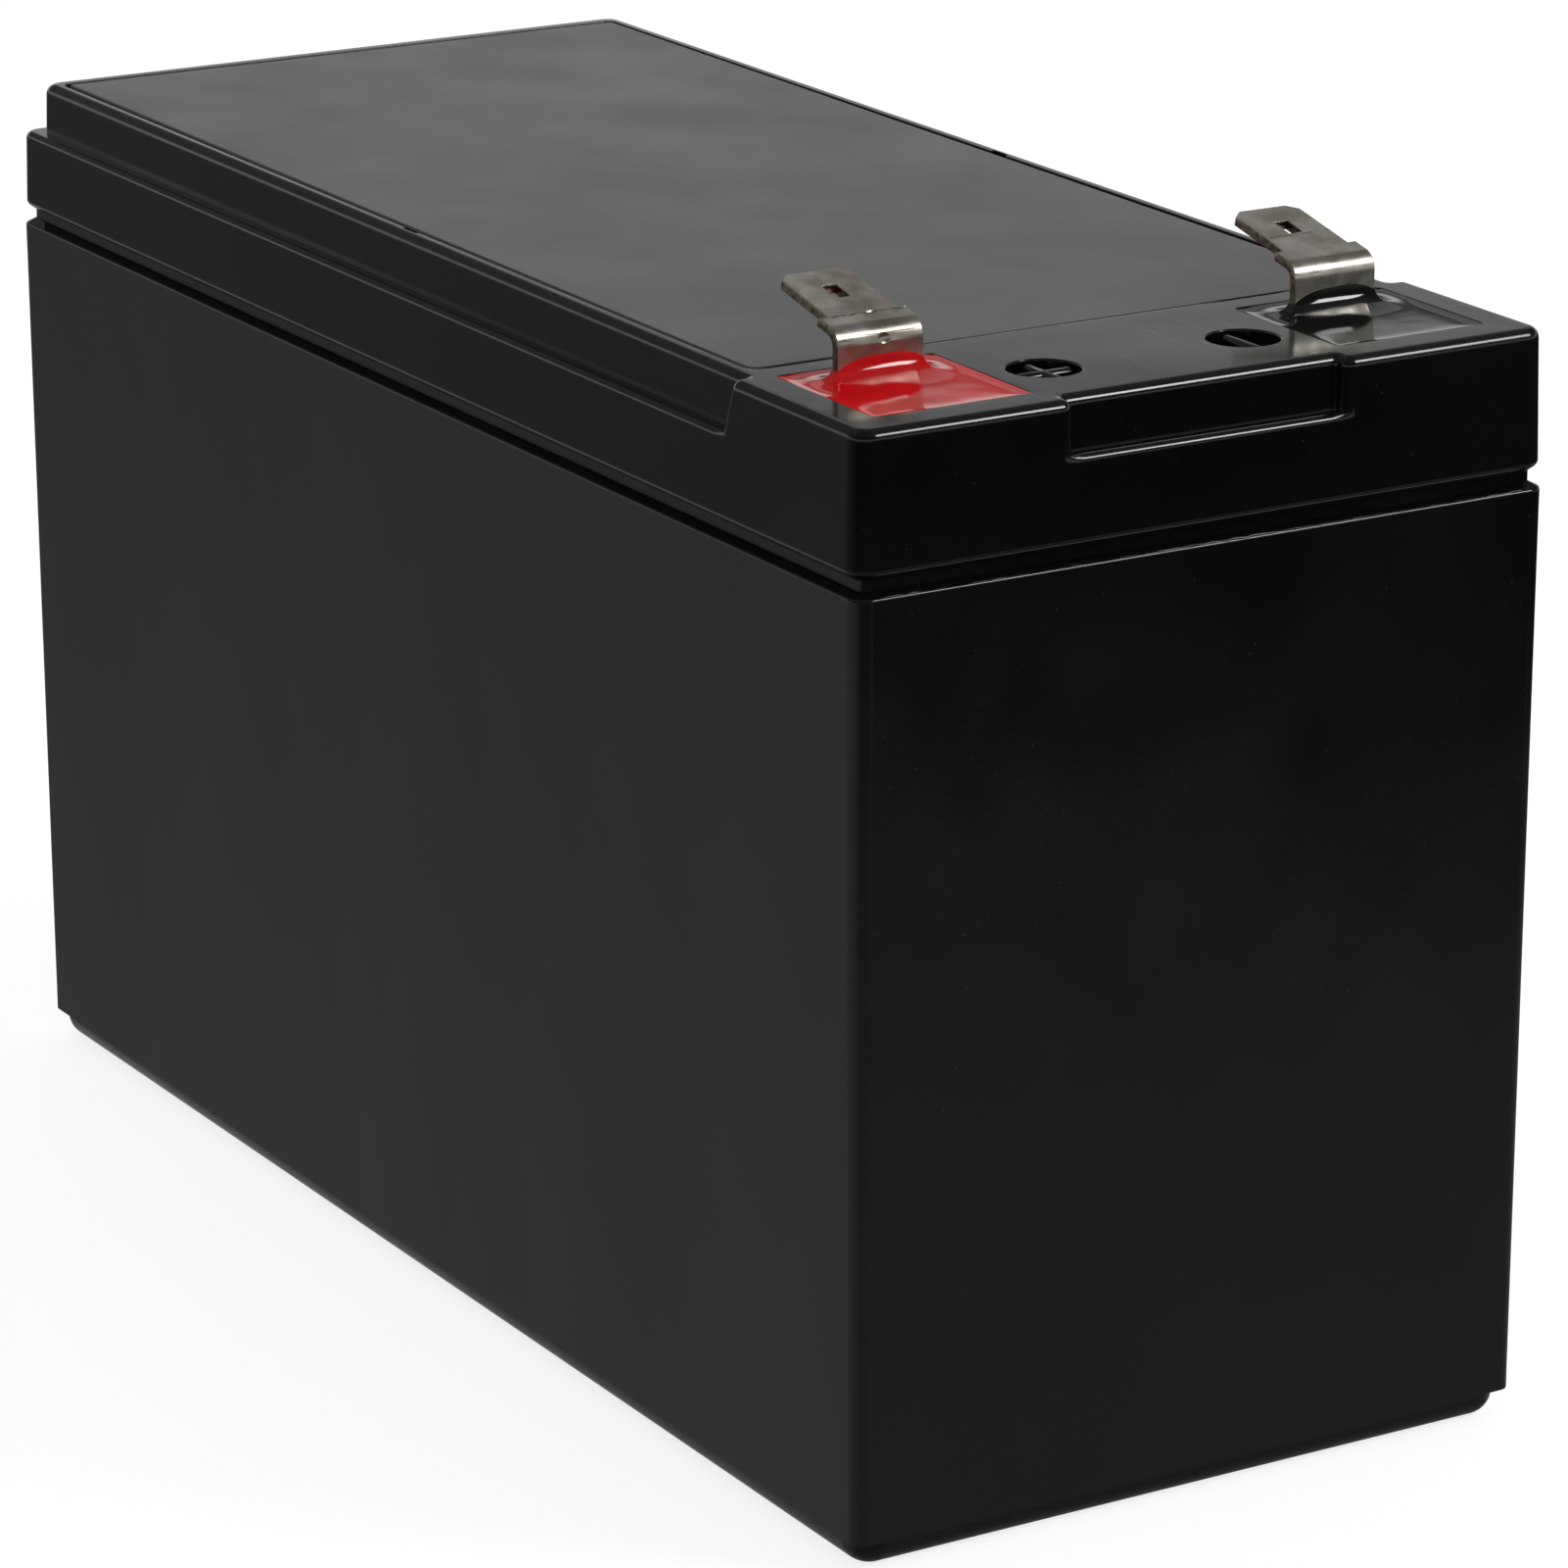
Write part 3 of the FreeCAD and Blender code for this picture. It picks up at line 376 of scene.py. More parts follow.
def rod(radius, foot, top, place, sides=40):
    """An upright round block."""
    bare()
    bpy.ops.mesh.primitive_cylinder_add(vertices=sides, radius=radius, depth=top - foot,
                                        location=(place.x, place.y, (foot + top) / 2))
    bpy.ops.object.transform_apply(location=True, rotation=True, scale=True)
    return bpy.context.object


def carve(piece, tool, operation="DIFFERENCE"):
    """Takes one solid from another, or joins them, and clears the tool away."""
    finished(piece, "BOOLEAN", object=tool, operation=operation, solver="EXACT")
    bpy.data.objects.remove(tool, do_unlink=True)


# %% Lid: the cover's pocket and the vent space under it
gap, pocket_lip, shelf = 0.4 * MM, 0.12 * MM, 1.2 * MM
pocket_front_corner, pocket_back_corner = 1.6 * MM, 0.8 * MM
deck_level = 86.8 * MM
slot_middle, slot_length, slot_depth = -2.0 * MM, 2.4 * MM, 0.35 * MM
slot_corner = 0.15 * MM

pocket_low = Vector((cover_low.x - gap, cover_low.y - gap))
pocket_high = Vector((cover_high.x + gap, cover_high.y + gap))
carve(lid, core(pocket_low, pocket_high, cover_low.z, pocket_lip,
                pocket_front_corner, pocket_back_corner))
for side in (-1, 1):
    outer = side * (pocket_high.y + slot_depth)
    inner = side * (pocket_high.y - ABOVE)
    carve(lid, core((slot_middle - slot_length / 2, min(outer, inner)),
                    (slot_middle + slot_length / 2, max(outer, inner)),
                    cover_low.z, pocket_lip / 2, slot_corner, slot_corner))
carve(lid, block("vent_core", (pocket_low.x + shelf, pocket_low.y + shelf, deck_level),
                 (pocket_high.x - shelf, pocket_high.y - shelf, cover_low.z + ABOVE)))
print("lid with pocket:", len(lid.data.polygons), "faces")

# %% Lid: vent nozzles and the ribs that carry the cover
nozzle_radius, nozzle_bore, cap_roof = 3.0 * MM, 1.5 * MM, 1.3 * MM
rib, rib_setback, rest = 1.2 * MM, 3.2 * MM, 0.03 * MM
inside_deck = (deck_underside + deck_level) / 2
valves = [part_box(f"vent_valve_{number}") for number in range(1, 7)]
vents = [(low + high) / 2 for low, high in valves]
nozzle_top = valves[0][1].z - cap_roof
columns = sorted({round(vent.x, 5) for vent in vents})
for near, far in zip(columns, columns[1:]):
    place = (near + far) / 2
    carve(lid, block("cross_rib", (place - rib / 2, pocket_low.y + rib_setback, inside_deck),
                     (place + rib / 2, pocket_high.y - rib_setback, cover_low.z - 2 * rest)),
          "UNION")
carve(lid, block("long_rib", (pocket_low.x, -rib / 2, inside_deck),
                 (pocket_high.x, rib / 2, cover_low.z - rest)), "UNION")
for vent in vents:
    carve(lid, rod(nozzle_radius, inside_deck, nozzle_top, vent), "UNION")
    carve(lid, rod(nozzle_bore, deck_underside - ABOVE, nozzle_top + ABOVE, vent, sides=24))
print("lid with nozzles:", len(lid.data.polygons), "faces")

# %% Lid: wells, post holes and the recesses of the polarity marks
well_lip, well_corner, post_radius = 0.1 * MM, 0.6 * MM, 3.0 * MM
mark_place, mark_offset = 65.6 * MM, 9.4 * MM
mark_radius, mark_lip, mark_floor = 3.0 * MM, 0.16 * MM, 93.0 * MM

for polarity, side in (("positive", -1), ("negative", 1)):
    low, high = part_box(f"{polarity}_seal")
    carve(lid, core(low.xy, high.xy, low.z, well_lip, well_corner, well_corner))
    ring_low, ring_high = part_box(f"{polarity}_post_ring")
    post = (ring_low + ring_high) / 2
    carve(lid, rod((ring_high.x - ring_low.x) / 2, ring_low.z, low.z + ABOVE, post))
    carve(lid, rod(post_radius, deck_underside - ABOVE, low.z + ABOVE, post))
    mark = Vector((mark_place, side * mark_offset))
    tool = rod(mark_radius + mark_lip, lid_top + NECK, lid_top + ABOVE, mark, sides=64)
    with editing(tool):
        pick("FACE", lambda face: level(face, lid_top + NECK))
        flare(mark_lip, mark_floor)
    carve(lid, tool)
print("lid with wells:", len(lid.data.polygons), "faces")

# %% Lid: the raised bars of the marks
bar_radius, bar_length, bar_lift, bar_end = 0.5 * MM, 4.9 * MM, 0.3 * MM, 0.22 * MM
BAR_SIDES, BAR_END_STEPS = 32, 4

for side, lengthwise in ((-1, True), (-1, False), (1, True)):
    bare()
    turn = (0, math.radians(90), 0) if lengthwise else (math.radians(90), 0, 0)
    bpy.ops.mesh.primitive_cylinder_add(
        vertices=BAR_SIDES, radius=bar_radius, depth=bar_length, rotation=turn,
        location=(mark_place, side * mark_offset, mark_floor + bar_lift))
    bpy.ops.object.transform_apply(location=True, rotation=True, scale=True)
    bar = bpy.context.object
    rounded(bar, bar_end, BAR_END_STEPS, [(bar_end, sharp_turn)])
    carve(lid, bar, "UNION")
print("lid with marks:", len(lid.data.polygons), "faces")

# %% Lid: the round of the ledge and of the mouth
CRUMB = 0.002 * MM
rounded(lid, ledge_round, ROUND_STEPS, [
    (ledge_round, lambda edge: level(edge, ledge) and sharp_turn(edge) and edge.is_convex),
    (mouth_round, lambda edge: level(edge, mouth) and sharp_turn(edge)),
    (base_round, lambda edge: level(edge, ledge) and sharp_turn(edge) and middle(edge).x > ear_back
     and edge.calc_length() > ear_inside),
])
with editing(lid):
    bpy.ops.mesh.select_all(action="SELECT")
    bpy.ops.mesh.dissolve_degenerate(threshold=CRUMB)
smooth(lid)
print("lid finished:", len(lid.data.polygons), "faces")
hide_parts("lid")
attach(lid, "root")

# %% [markdown]
# ## The vent cover
# The cover is a loose moulded plate. It is thinner than the lid, so it never lies quite
# straight: it sits a little askew in its pocket, and its face is not perfectly flat. A grid
# of cuts gives the plate enough points to bend, and soft pulls with proportional editing
# leave the low swells that show in its reflection.

# %% Vent cover: the plate
cover_edge, cover_front_corner, cover_back_corner = 0.2 * MM, 1.2 * MM, 0.4 * MM
EDGE_STEPS = 3
cover = block("vent_cover_plate", cover_low, cover_high)
with editing(cover):
    for radius, ahead in ((cover_front_corner, True), (cover_back_corner, False)):
        pick("EDGE", lambda edge: upright(edge) and (middle(edge).x > 0) == ahead)
        bpy.ops.mesh.bevel(offset=radius, segments=LIP_STEPS + 2, affect="EDGES")
rounded(cover, cover_edge, EDGE_STEPS, [
    (cover_edge, lambda edge: level(edge, cover_high.z) or level(edge, cover_low.z)),
])

# %% Vent cover: its swells and its turn
cover_turn = math.radians(0.12)
LENGTH_CUTS, WIDTH_CUTS = 32, 16


def pull(place, reach, distance):
    """Draws the nearest point of an open mesh up or down, and softly those round it."""
    mesh = bmesh.from_edit_mesh(bpy.context.edit_object.data)
    nearest = min((vert.co - place).length for vert in mesh.verts)
    pick("VERT", lambda vert: (vert.co - place).length < nearest + NEAR)
    bpy.ops.transform.translate(value=(0, 0, distance), use_proportional_edit=True,
                                proportional_edit_falloff="SMOOTH", proportional_size=reach)


# Each swell has its place as shares of the plate, and its reach and lift in millimetres.
span = cover_high - cover_low
swells = [(-0.38, -0.2, 16, 0.04), (-0.12, 0.24, 20, -0.05), (0.16, -0.26, 18, 0.03),
          (0.37, 0.12, 14, -0.05), (0.3, -0.33, 12, 0.04), (-0.25, 0.38, 14, 0.03)]
with editing(cover):
    slice_faces(lambda face: True, [(0, cover_low.x + span.x * step / LENGTH_CUTS)
                                    for step in range(1, LENGTH_CUTS)])
    slice_faces(lambda face: True, [(1, cover_low.y + span.y * step / WIDTH_CUTS)
                                    for step in range(1, WIDTH_CUTS)])
    for along, across, reach, lift in swells:
        pull(Vector((span.x * along, span.y * across, cover_high.z)), reach * MM, lift * MM)
    bpy.ops.mesh.select_all(action="SELECT")
    bpy.ops.transform.rotate(value=cover_turn, orient_axis="Z",
                             center_override=(cover_low + cover_high) / 2)
smooth(cover, weight=50)
print("cover:", len(cover.data.polygons), "faces")
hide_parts("vent_cover")
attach(cover, "root")

# %% [markdown]
# ## The terminals
# A real terminal is punched flat from tinned strip and then folded over a round-nosed tool.
# We do the same. The blank lies flat, with its length along X: leg, bend, neck and the narrower
# push-on blade. Its edges are rolled a little by the punch. Only then is it bent: every point
# keeps its distance along the strip and its depth under the face, and the path of the strip
# turns round the tool. Handling has left a raised ragged line where the positive blade begins,
# and a shallow one beside the hole of the negative blade. A punch has left a small round dent
# low on the bend of the positive tab.

# %% Terminals: sizes and marks of handling
thick, neck_width, blade_width = 0.8 * MM, 7.9 * MM, 6.35 * MM
neck_length, blade_length, chamfer = 1.6 * MM, 7.9 * MM, 0.9 * MM
latch_length, latch_width, latch_from_tip = 2.3 * MM, 1.3 * MM, 3.9 * MM
bend_radius, bend_turn = 1.6 * MM, math.radians(78)
rolled, rolled_hole = 0.12 * MM, 0.05 * MM
bend_length = bend_radius * bend_turn
SEAM_CUTS, FAINT, STRONG = 22, 0.4, 1.6

# Each mark tells where it starts along the blade, how far ahead it lies, its lift and wobble.
handling_marks = {
    "positive": [("shoulder", -0.2 * MM, 0.09 * MM, 0.05 * MM)],
    "negative": [("latch", -latch_length / 2 - 0.3 * MM, -0.06 * MM, 0.05 * MM)],
}


def seam(place, lift, wobble, chance):
    """A ragged line across the blade: a row of points, each lifted and shifted a little."""
    reach = 3 * wobble
    for shift in (-reach, 0, reach):
        slice_faces(lambda face: face.normal.z > 0.9, [(0, place + shift)], snap=NEAR)
    steps = [blade_width * (step / SEAM_CUTS - 0.5) for step in range(1, SEAM_CUTS)]
    slice_faces(lambda face: face.normal.z > 0.9 and abs(middle(face).x - place) < reach,
                [(1, step) for step in steps], snap=NEAR)
    mesh = bmesh.from_edit_mesh(bpy.context.edit_object.data)
    for vert in mesh.verts:
        if at(vert.co.x, place) and at(vert.co.z, 0):
            vert.co.z += lift * chance.uniform(FAINT, STRONG)
            vert.co.x += chance.uniform(-wobble, wobble)
    bmesh.update_edit_mesh(bpy.context.edit_object.data)


print(f"strip {1000 * thick:.1f} mm thick, blade {1000 * blade_width:.2f} mm wide")


# %% Terminals: the flat blank
def blank(name, leg, marks):
    """A punched strip: X along it from its foot, its outer face at zero height."""
    shoulder = leg + bend_length + neck_length
    tip = shoulder + blade_length
    strip = block(name, (0, -neck_width / 2, -thick), (shoulder, neck_width / 2, 0))
    with editing(strip):
        slice_faces(lambda face: True, [(1, -blade_width / 2), (1, blade_width / 2)])
        pick("FACE", lambda face: face.normal.x > 0.9 and abs(middle(face).y) < NEAR)
        bpy.ops.mesh.extrude_region_move(
            TRANSFORM_OT_translate={"value": (blade_length, 0, 0)})
        pick("EDGE", lambda edge: upright(edge) and at(middle(edge).x, tip))
        bpy.ops.mesh.bevel(offset=chamfer, segments=1, affect="EDGES")
        pick("FACE", lambda face: abs(face.normal.z) > 0.9)
        bpy.ops.mesh.dissolve_limited(angle_limit=math.radians(1))
    latch = tip - latch_from_tip
    carve(strip, block("punch", (latch - latch_length / 2, -latch_width / 2, -2 * thick),
                       (latch + latch_length / 2, latch_width / 2, thick)))

    def on_face(edge):
        return sharp_turn(edge) and (level(edge, 0) or level(edge, -thick))

    def at_hole(edge):
        place = middle(edge)
        return abs(place.x - latch) < latch_length and abs(place.y) < latch_width

    rounded(strip, rolled, EDGE_STEPS, [
        (rolled_hole, lambda edge: on_face(edge) and at_hole(edge)),
        (rolled, on_face),
    ])
    chance = random.Random(7)
    with editing(strip):
        for start, ahead, lift, wobble in marks:
            seam((shoulder if start == "shoulder" else latch) + ahead, lift, wobble, chance)
    return strip


# %% Terminals: fold the strip and dress its place
BEND_CUTS = 16
punch_radius, punch_depth = 0.65 * MM, 0.15 * MM
punch_turn, punch_aside = math.radians(12), 0.35 * MM


def fold(strip, leg, foot):
    """Bends a blank: straight up along the leg, round the tool, and on along the blade."""
    bend_end = leg + bend_length
    with editing(strip):
        slice_faces(lambda face: True, [(0, leg + bend_length * step / BEND_CUTS)
                                        for step in range(BEND_CUTS + 1)])
    for vert in strip.data.vertices:
        along, across, depth = vert.co
        turn = min(max(along - leg, 0) / bend_radius, bend_turn)
        arm = bend_radius + depth
        beyond = max(along - bend_end, 0)
        vert.co = foot + Vector((
            arm * math.cos(turn) - bend_radius - beyond * math.sin(bend_turn),
            -across,
            min(along, leg) + arm * math.sin(turn) + beyond * math.cos(bend_turn)))


for polarity in ("positive", "negative"):
    low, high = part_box(f"{polarity}_terminal")
    tip_rise = (bend_radius * math.sin(bend_turn)
                + (neck_length + blade_length) * math.cos(bend_turn))
    leg = high.z - tip_rise - low.z
    foot = Vector((high.x, (low.y + high.y) / 2, low.z))
    tab = blank(f"{polarity}_tab", leg, handling_marks[polarity])
    fold(tab, leg, foot)
    if polarity == "positive":
        ball = (punch_radius ** 2 + punch_depth ** 2) / (2 * punch_depth)
        reach = bend_radius + ball - punch_depth
        bare()
        bpy.ops.mesh.primitive_uv_sphere_add(
            segments=48, ring_count=32, radius=ball,
            location=foot + Vector((reach * math.cos(punch_turn) - bend_radius, punch_aside,
                                    leg + reach * math.sin(punch_turn))))
        bpy.ops.object.transform_apply(location=True, rotation=True, scale=True)
        carve(tab, bpy.context.object)
    smooth(tab)
    print(tab.name, len(tab.data.polygons), "faces")
    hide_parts(f"{polarity}_terminal")
    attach(tab, "root")

# %% [markdown]
# ## The epoxy seals
# The epoxy is poured into the well and sets there. Its surface is flat in the middle, creeps
# up the tab as a wet meniscus and clings a little to the walls of the well. It climbs highest
# on the outer face of the strip. We cut the top of a block into a grid, finer round the strip,
# lift every point by a formula, and let the lift fade out with distance, as a liquid surface
# does.

# %% Epoxy seals: the height of the wet surface
epoxy_level = 93.76 * MM
climb, face_climb, side_climb = 1.0 * MM, 0.85 * MM, 0.25 * MM
climb_reach, foot_share, foot_reach = 0.34 * MM, 0.3, 1.9 * MM
cling, cling_reach = 0.18 * MM, 0.6 * MM
STEEPNESS, ARCH_POWER = 1.1, 3
FINE, COARSE = 0.08 * MM, 0.3 * MM


def creep(place, leg_low, leg_high, well_low, well_high):
    """How high the wet surface stands above its level at a place of the plan."""
    out_x = max(leg_low.x - place.x, 0, place.x - leg_high.x)
    out_y = max(leg_low.y - place.y, 0, place.y - leg_high.y)
    from_leg = math.hypot(out_x, out_y)
    across = min(max((place.y - leg_low.y) / (leg_high.y - leg_low.y), 0), 1)
    ahead = min(max((place.x - leg_low.x) / (leg_high.x - leg_low.x), 0), 1)
    arch = 1 - abs(2 * across - 1) ** ARCH_POWER
    height = climb + side_climb * across + face_climb * ahead * arch
    from_wall = min(place.x - well_low.x, well_high.x - place.x,
                    place.y - well_low.y, well_high.y - place.y)
    return (height * (1 - foot_share) * math.exp(-(from_leg / climb_reach) ** STEEPNESS)
            + height * foot_share * math.exp(-(from_leg / foot_reach) ** 2)
            + cling * math.exp(-max(from_wall, 0) / cling_reach))


def cut_places(low, high, fine_low, fine_high):
    """Places for cuts between two walls, close together in one stretch and wider elsewhere."""
    place, places = low + COARSE, []
    while place < high - FINE:
        places.append(place)
        place += FINE if fine_low < place < fine_high else COARSE
    return places


print(f"epoxy stands {1000 * (lid_top - epoxy_level):.2f} mm below the lid's top")

# %% Epoxy seals: cut and lift the surface
for polarity in ("positive", "negative"):
    low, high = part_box(f"{polarity}_seal")
    leg_low, leg_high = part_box(f"{polarity}_terminal")
    leg_low = Vector((leg_high.x - thick, leg_low.y, 0))
    seal = block(f"{polarity}_epoxy", low, (high.x, high.y, epoxy_level))
    with editing(seal):
        pick("EDGE", upright)
        bpy.ops.mesh.bevel(offset=well_corner, segments=LIP_STEPS + 2, affect="EDGES")
        lengthwise = cut_places(low.x, high.x, leg_low.x - 3 * climb_reach,
                                leg_high.x + 3 * climb_reach)
        crosswise = cut_places(low.y, high.y, low.y, high.y)[::2]
        slice_faces(lambda face: level(face, epoxy_level),
                    [(0, place) for place in lengthwise] + [(1, place) for place in crosswise],
                    snap=NEAR)
    for vert in seal.data.vertices:
        if at(vert.co.z, epoxy_level):
            vert.co.z += creep(vert.co, leg_low, leg_high, low, high)
    smooth(seal, weight=50)
    print(seal.name, len(seal.data.polygons), "faces")
    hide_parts(f"{polarity}_seal")
    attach(seal, "root")

# %% [markdown]
# ## The flash on the rim
# Where the lid presses on the container, the heated rim is squeezed a little, and on the end
# with the terminals a thread of plastic stands out. It is a fifth of a millimetre thick at
# most, it wavers, and here and there it sinks into the rim. A long thin rod with many cuts is a
# thread like this as soon as each of its rings gets its own thickness and place.

# %% Rim flash: the rod
flash_radius, flash_inset, flash_rise = 0.11 * MM, 0.125 * MM, 0.15 * MM
flash_ends, FLASH_CUTS = 2.5 * MM, 90
rim = max(vert.co.z for vert in frame["nodes"]["container"].data.vertices
          if vert.co.x > case_high.x - 2 * NEAR)
print(f"rim at {1000 * rim:.2f} mm")
flash_span = 2 * (half_width - flash_ends)
bare()
bpy.ops.mesh.primitive_cylinder_add(vertices=8, radius=flash_radius, depth=flash_span,
                                    rotation=(math.radians(90), 0, 0),
                                    location=(half_length - flash_inset, 0, rim + flash_rise))
flash = bpy.context.object
flash.name = "rim_flash"
bpy.ops.object.transform_apply(location=True, rotation=True, scale=True)
with editing(flash):
    slice_faces(lambda face: True, [(1, flash_span * (step / FLASH_CUTS - 0.5))
                                    for step in range(1, FLASH_CUTS)])

# %% Rim flash: every ring its own thickness and place
THINNEST, THICKEST, CHANGE = 0.05, 1.1, 0.35
shift_back, shift_down, shift_up = 0.02, 0.06, 0.07
chance = random.Random(12)
strength = 0.8
rings = {}
for vert in flash.data.vertices:
    rings.setdefault(round(vert.co.y / NEAR), []).append(vert)
for ring in rings.values():
    spine = sum((vert.co for vert in ring), Vector()) / len(ring)
    strength = min(max(strength + chance.uniform(-CHANGE, CHANGE), THINNEST), THICKEST)
    shift = Vector((chance.uniform(-shift_back, 0), 0,
                    chance.uniform(-shift_down, shift_up))) * MM
    for vert in ring:
        vert.co = spine + shift + (vert.co - spine) * strength
smooth(flash, angle=60, weight=50)
print("flash:", len(rings), "rings")
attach(flash, "root")

# %% [markdown]
# ## Words for finishes
# Every finish starts as one shader with a plain colour and roughness. What makes it believable
# is what moulding, handling and age add: soft swells in a shiny face, a grain that dulls it in
# places, a few specks. Each of these is a noise laid over the piece's own place, so the words
# below only name it once: a grain, a mix of two values by that grain, and a bump.

# %% Helpers for materials
def finish(name, colour, roughness, **inputs):
    """A new material with one shader."""
    made = bpy.data.materials.new(f"{name}_finish")
    made.use_nodes = True
    shader = made.node_tree.nodes["Principled BSDF"]
    shader.inputs["Base Color"].default_value = (*colour, 1)
    shader.inputs["Roughness"].default_value = roughness
    for socket, value in inputs.items():
        shader.inputs[socket.replace("_", " ").title()].default_value = value
    return made


def node(made, kind, inputs, **settings):
    """One more node: its inputs by name or number, as values or as other outputs."""
    new = made.node_tree.nodes.new(kind)
    for name, value in settings.items():
        setattr(new, name, value)
    for name, value in inputs.items():
        if isinstance(value, bpy.types.NodeSocket):
            made.node_tree.links.new(value, new.inputs[name])
        else:
            new.inputs[name].default_value = value
    return new


def feed(made, value, socket):
    """Leads an output into the shader."""
    made.node_tree.links.new(value, made.node_tree.nodes["Principled BSDF"].inputs[socket])


def scaled(made, value, start, end, low=0.0, high=1.0):
    """Turns a range of a value into another range, and holds it there."""
    return node(made, "ShaderNodeMapRange", {"Value": value, "From Min": low, "From Max": high,
                                             "To Min": start, "To Max": end}).outputs["Result"]


def grain(made, size, low=0.35, high=0.65, stretch=(1, 1, 1), detail=3.0):
    """A cloudy noise of a size in metres, from nought to one, longer along an axis if asked."""
    place = node(made, "ShaderNodeTexCoord", {}).outputs["Object"]
    spread = node(made, "ShaderNodeMapping", {"Vector": place,
                                              "Scale": [1 / way for way in stretch]})
    cloud = node(made, "ShaderNodeTexNoise", {"Vector": spread.outputs["Vector"],
                                              "Scale": 1 / size, "Detail": detail})
    return scaled(made, cloud.outputs["Fac"], 0, 1, low, high)


def blend_colour(made, value, start, end):
    """Between two colours, or outputs that carry one."""
    mix = node(made, "ShaderNodeMix", {"Factor": value}, data_type="RGBA")
    for socket, colour in ((mix.inputs[6], start), (mix.inputs[7], end)):
        if isinstance(colour, bpy.types.NodeSocket):
            made.node_tree.links.new(colour, socket)
        else:
            socket.default_value = (*colour, 1)
    return mix.outputs[2]


def bump(made, height, depth):
    """Raises the surface by a height map of a depth in metres, over the earlier bumps."""
    shader = made.node_tree.nodes["Principled BSDF"]
    new = node(made, "ShaderNodeBump", {"Height": height, "Distance": depth})
    if shader.inputs["Normal"].links:
        earlier = shader.inputs["Normal"].links[0].from_socket
        made.node_tree.links.new(earlier, new.inputs["Normal"])
    feed(made, new.outputs["Normal"], "Normal")


def facing(made, axis):
    """How squarely the surface looks along one axis of the piece, from nought to one."""
    way = node(made, "ShaderNodeTexCoord", {}).outputs["Normal"]
    parts = node(made, "ShaderNodeSeparateXYZ", {"Vector": way})
    return node(made, "ShaderNodeMath", {0: parts.outputs[axis]}, operation="ABSOLUTE").outputs[0]


def tell(made):
    """Prints how many nodes a finish has."""
    print(made.name, "nodes:", len(made.node_tree.nodes))


# %% [markdown]
# ## Black moulded plastic, three times
# Container, lid and cover are the same black ABS, but they don't look the same, since each took
# the polish of its own tool. The lid is shiny. The container's long sides are satin, and its
# ends and its shoulder under the lid shine, because only those had a polish. The container's
# colour also carries painted light and shade by which way a face looks: its long sides are
# painted a lighter black, and its ends and shoulder a darker one. The cover is thin, satin, a
# little greyer and wavy, and it carries most of the scuffs. On lid and cover one grain is drawn
# out along an axis and cut off high, which leaves a few fine scratches.

# %% Lid plastic
BLACK = (0.0026, 0.0026, 0.0029)
DUST = (0.035, 0.035, 0.033)

lid_plastic = finish("lid_plastic", BLACK, 0.14)
feed(lid_plastic, scaled(lid_plastic, grain(lid_plastic, 22 * MM), 0.10, 0.19), "Roughness")
bump(lid_plastic, grain(lid_plastic, 14 * MM, 0.2, 0.8, detail=1.0), 0.025 * MM)
bump(lid_plastic, grain(lid_plastic, 1.3 * MM, 0.2, 0.8), 0.0009 * MM)
bump(lid_plastic, grain(lid_plastic, 0.35 * MM, 0.66, 0.72, stretch=(40, 3, 3)), 0.0016 * MM)
specks = grain(lid_plastic, 0.32 * MM, 0.79, 0.81, detail=1.0)
feed(lid_plastic, blend_colour(lid_plastic, specks, BLACK, DUST), "Base Color")
tell(lid_plastic)

# %% Container plastic
# A lighter black painted on the long sides only: painted light, chosen by which way the face looks.
SIDE_BLACK_PAINTED_LIGHTER = (0.0150, 0.0138, 0.0143)

case_plastic = finish("case_plastic", BLACK, 0.4)
end_face = scaled(case_plastic, facing(case_plastic, "X"), 0, 1, 0.6, 0.8)
shoulder = scaled(case_plastic, facing(case_plastic, "Z"), 0, 1, 0.08, 0.25)
polished_and_painted_darker = node(case_plastic, "ShaderNodeMath", {0: end_face, 1: shoulder},
                operation="MAXIMUM").outputs[0]
blotches = grain(case_plastic, 26 * MM, 0.3, 0.7, detail=4.0)
satin = scaled(case_plastic, grain(case_plastic, 30 * MM, stretch=(1, 1, 5)), 0.40, 0.46)
shine = scaled(case_plastic, blotches, 0.09, 0.17)
polish = node(case_plastic, "ShaderNodeMix", {0: polished_and_painted_darker, 2: satin, 3: shine},
              data_type="FLOAT")
feed(case_plastic, polish.outputs[0], "Roughness")
bump(case_plastic, grain(case_plastic, 24 * MM, 0.2, 0.8, stretch=(1, 1, 1.6), detail=2.0),
     0.22 * MM)
bump(case_plastic, grain(case_plastic, 0.5 * MM, 0.2, 0.8), 0.0012 * MM)
specks = grain(case_plastic, 0.35 * MM, 0.79, 0.81, detail=1.0)
# Painted light and shade: the long sides get the lighter black and the ends and shoulder the darker
# one, by which way a face looks.
painted_side_shading = blend_colour(case_plastic, polished_and_painted_darker, SIDE_BLACK_PAINTED_LIGHTER, BLACK)
feed(case_plastic, blend_colour(case_plastic, specks, painted_side_shading, DUST), "Base Color")
tell(case_plastic)

# %% Cover plastic
COVER_BLACK = (0.035, 0.0315, 0.036)

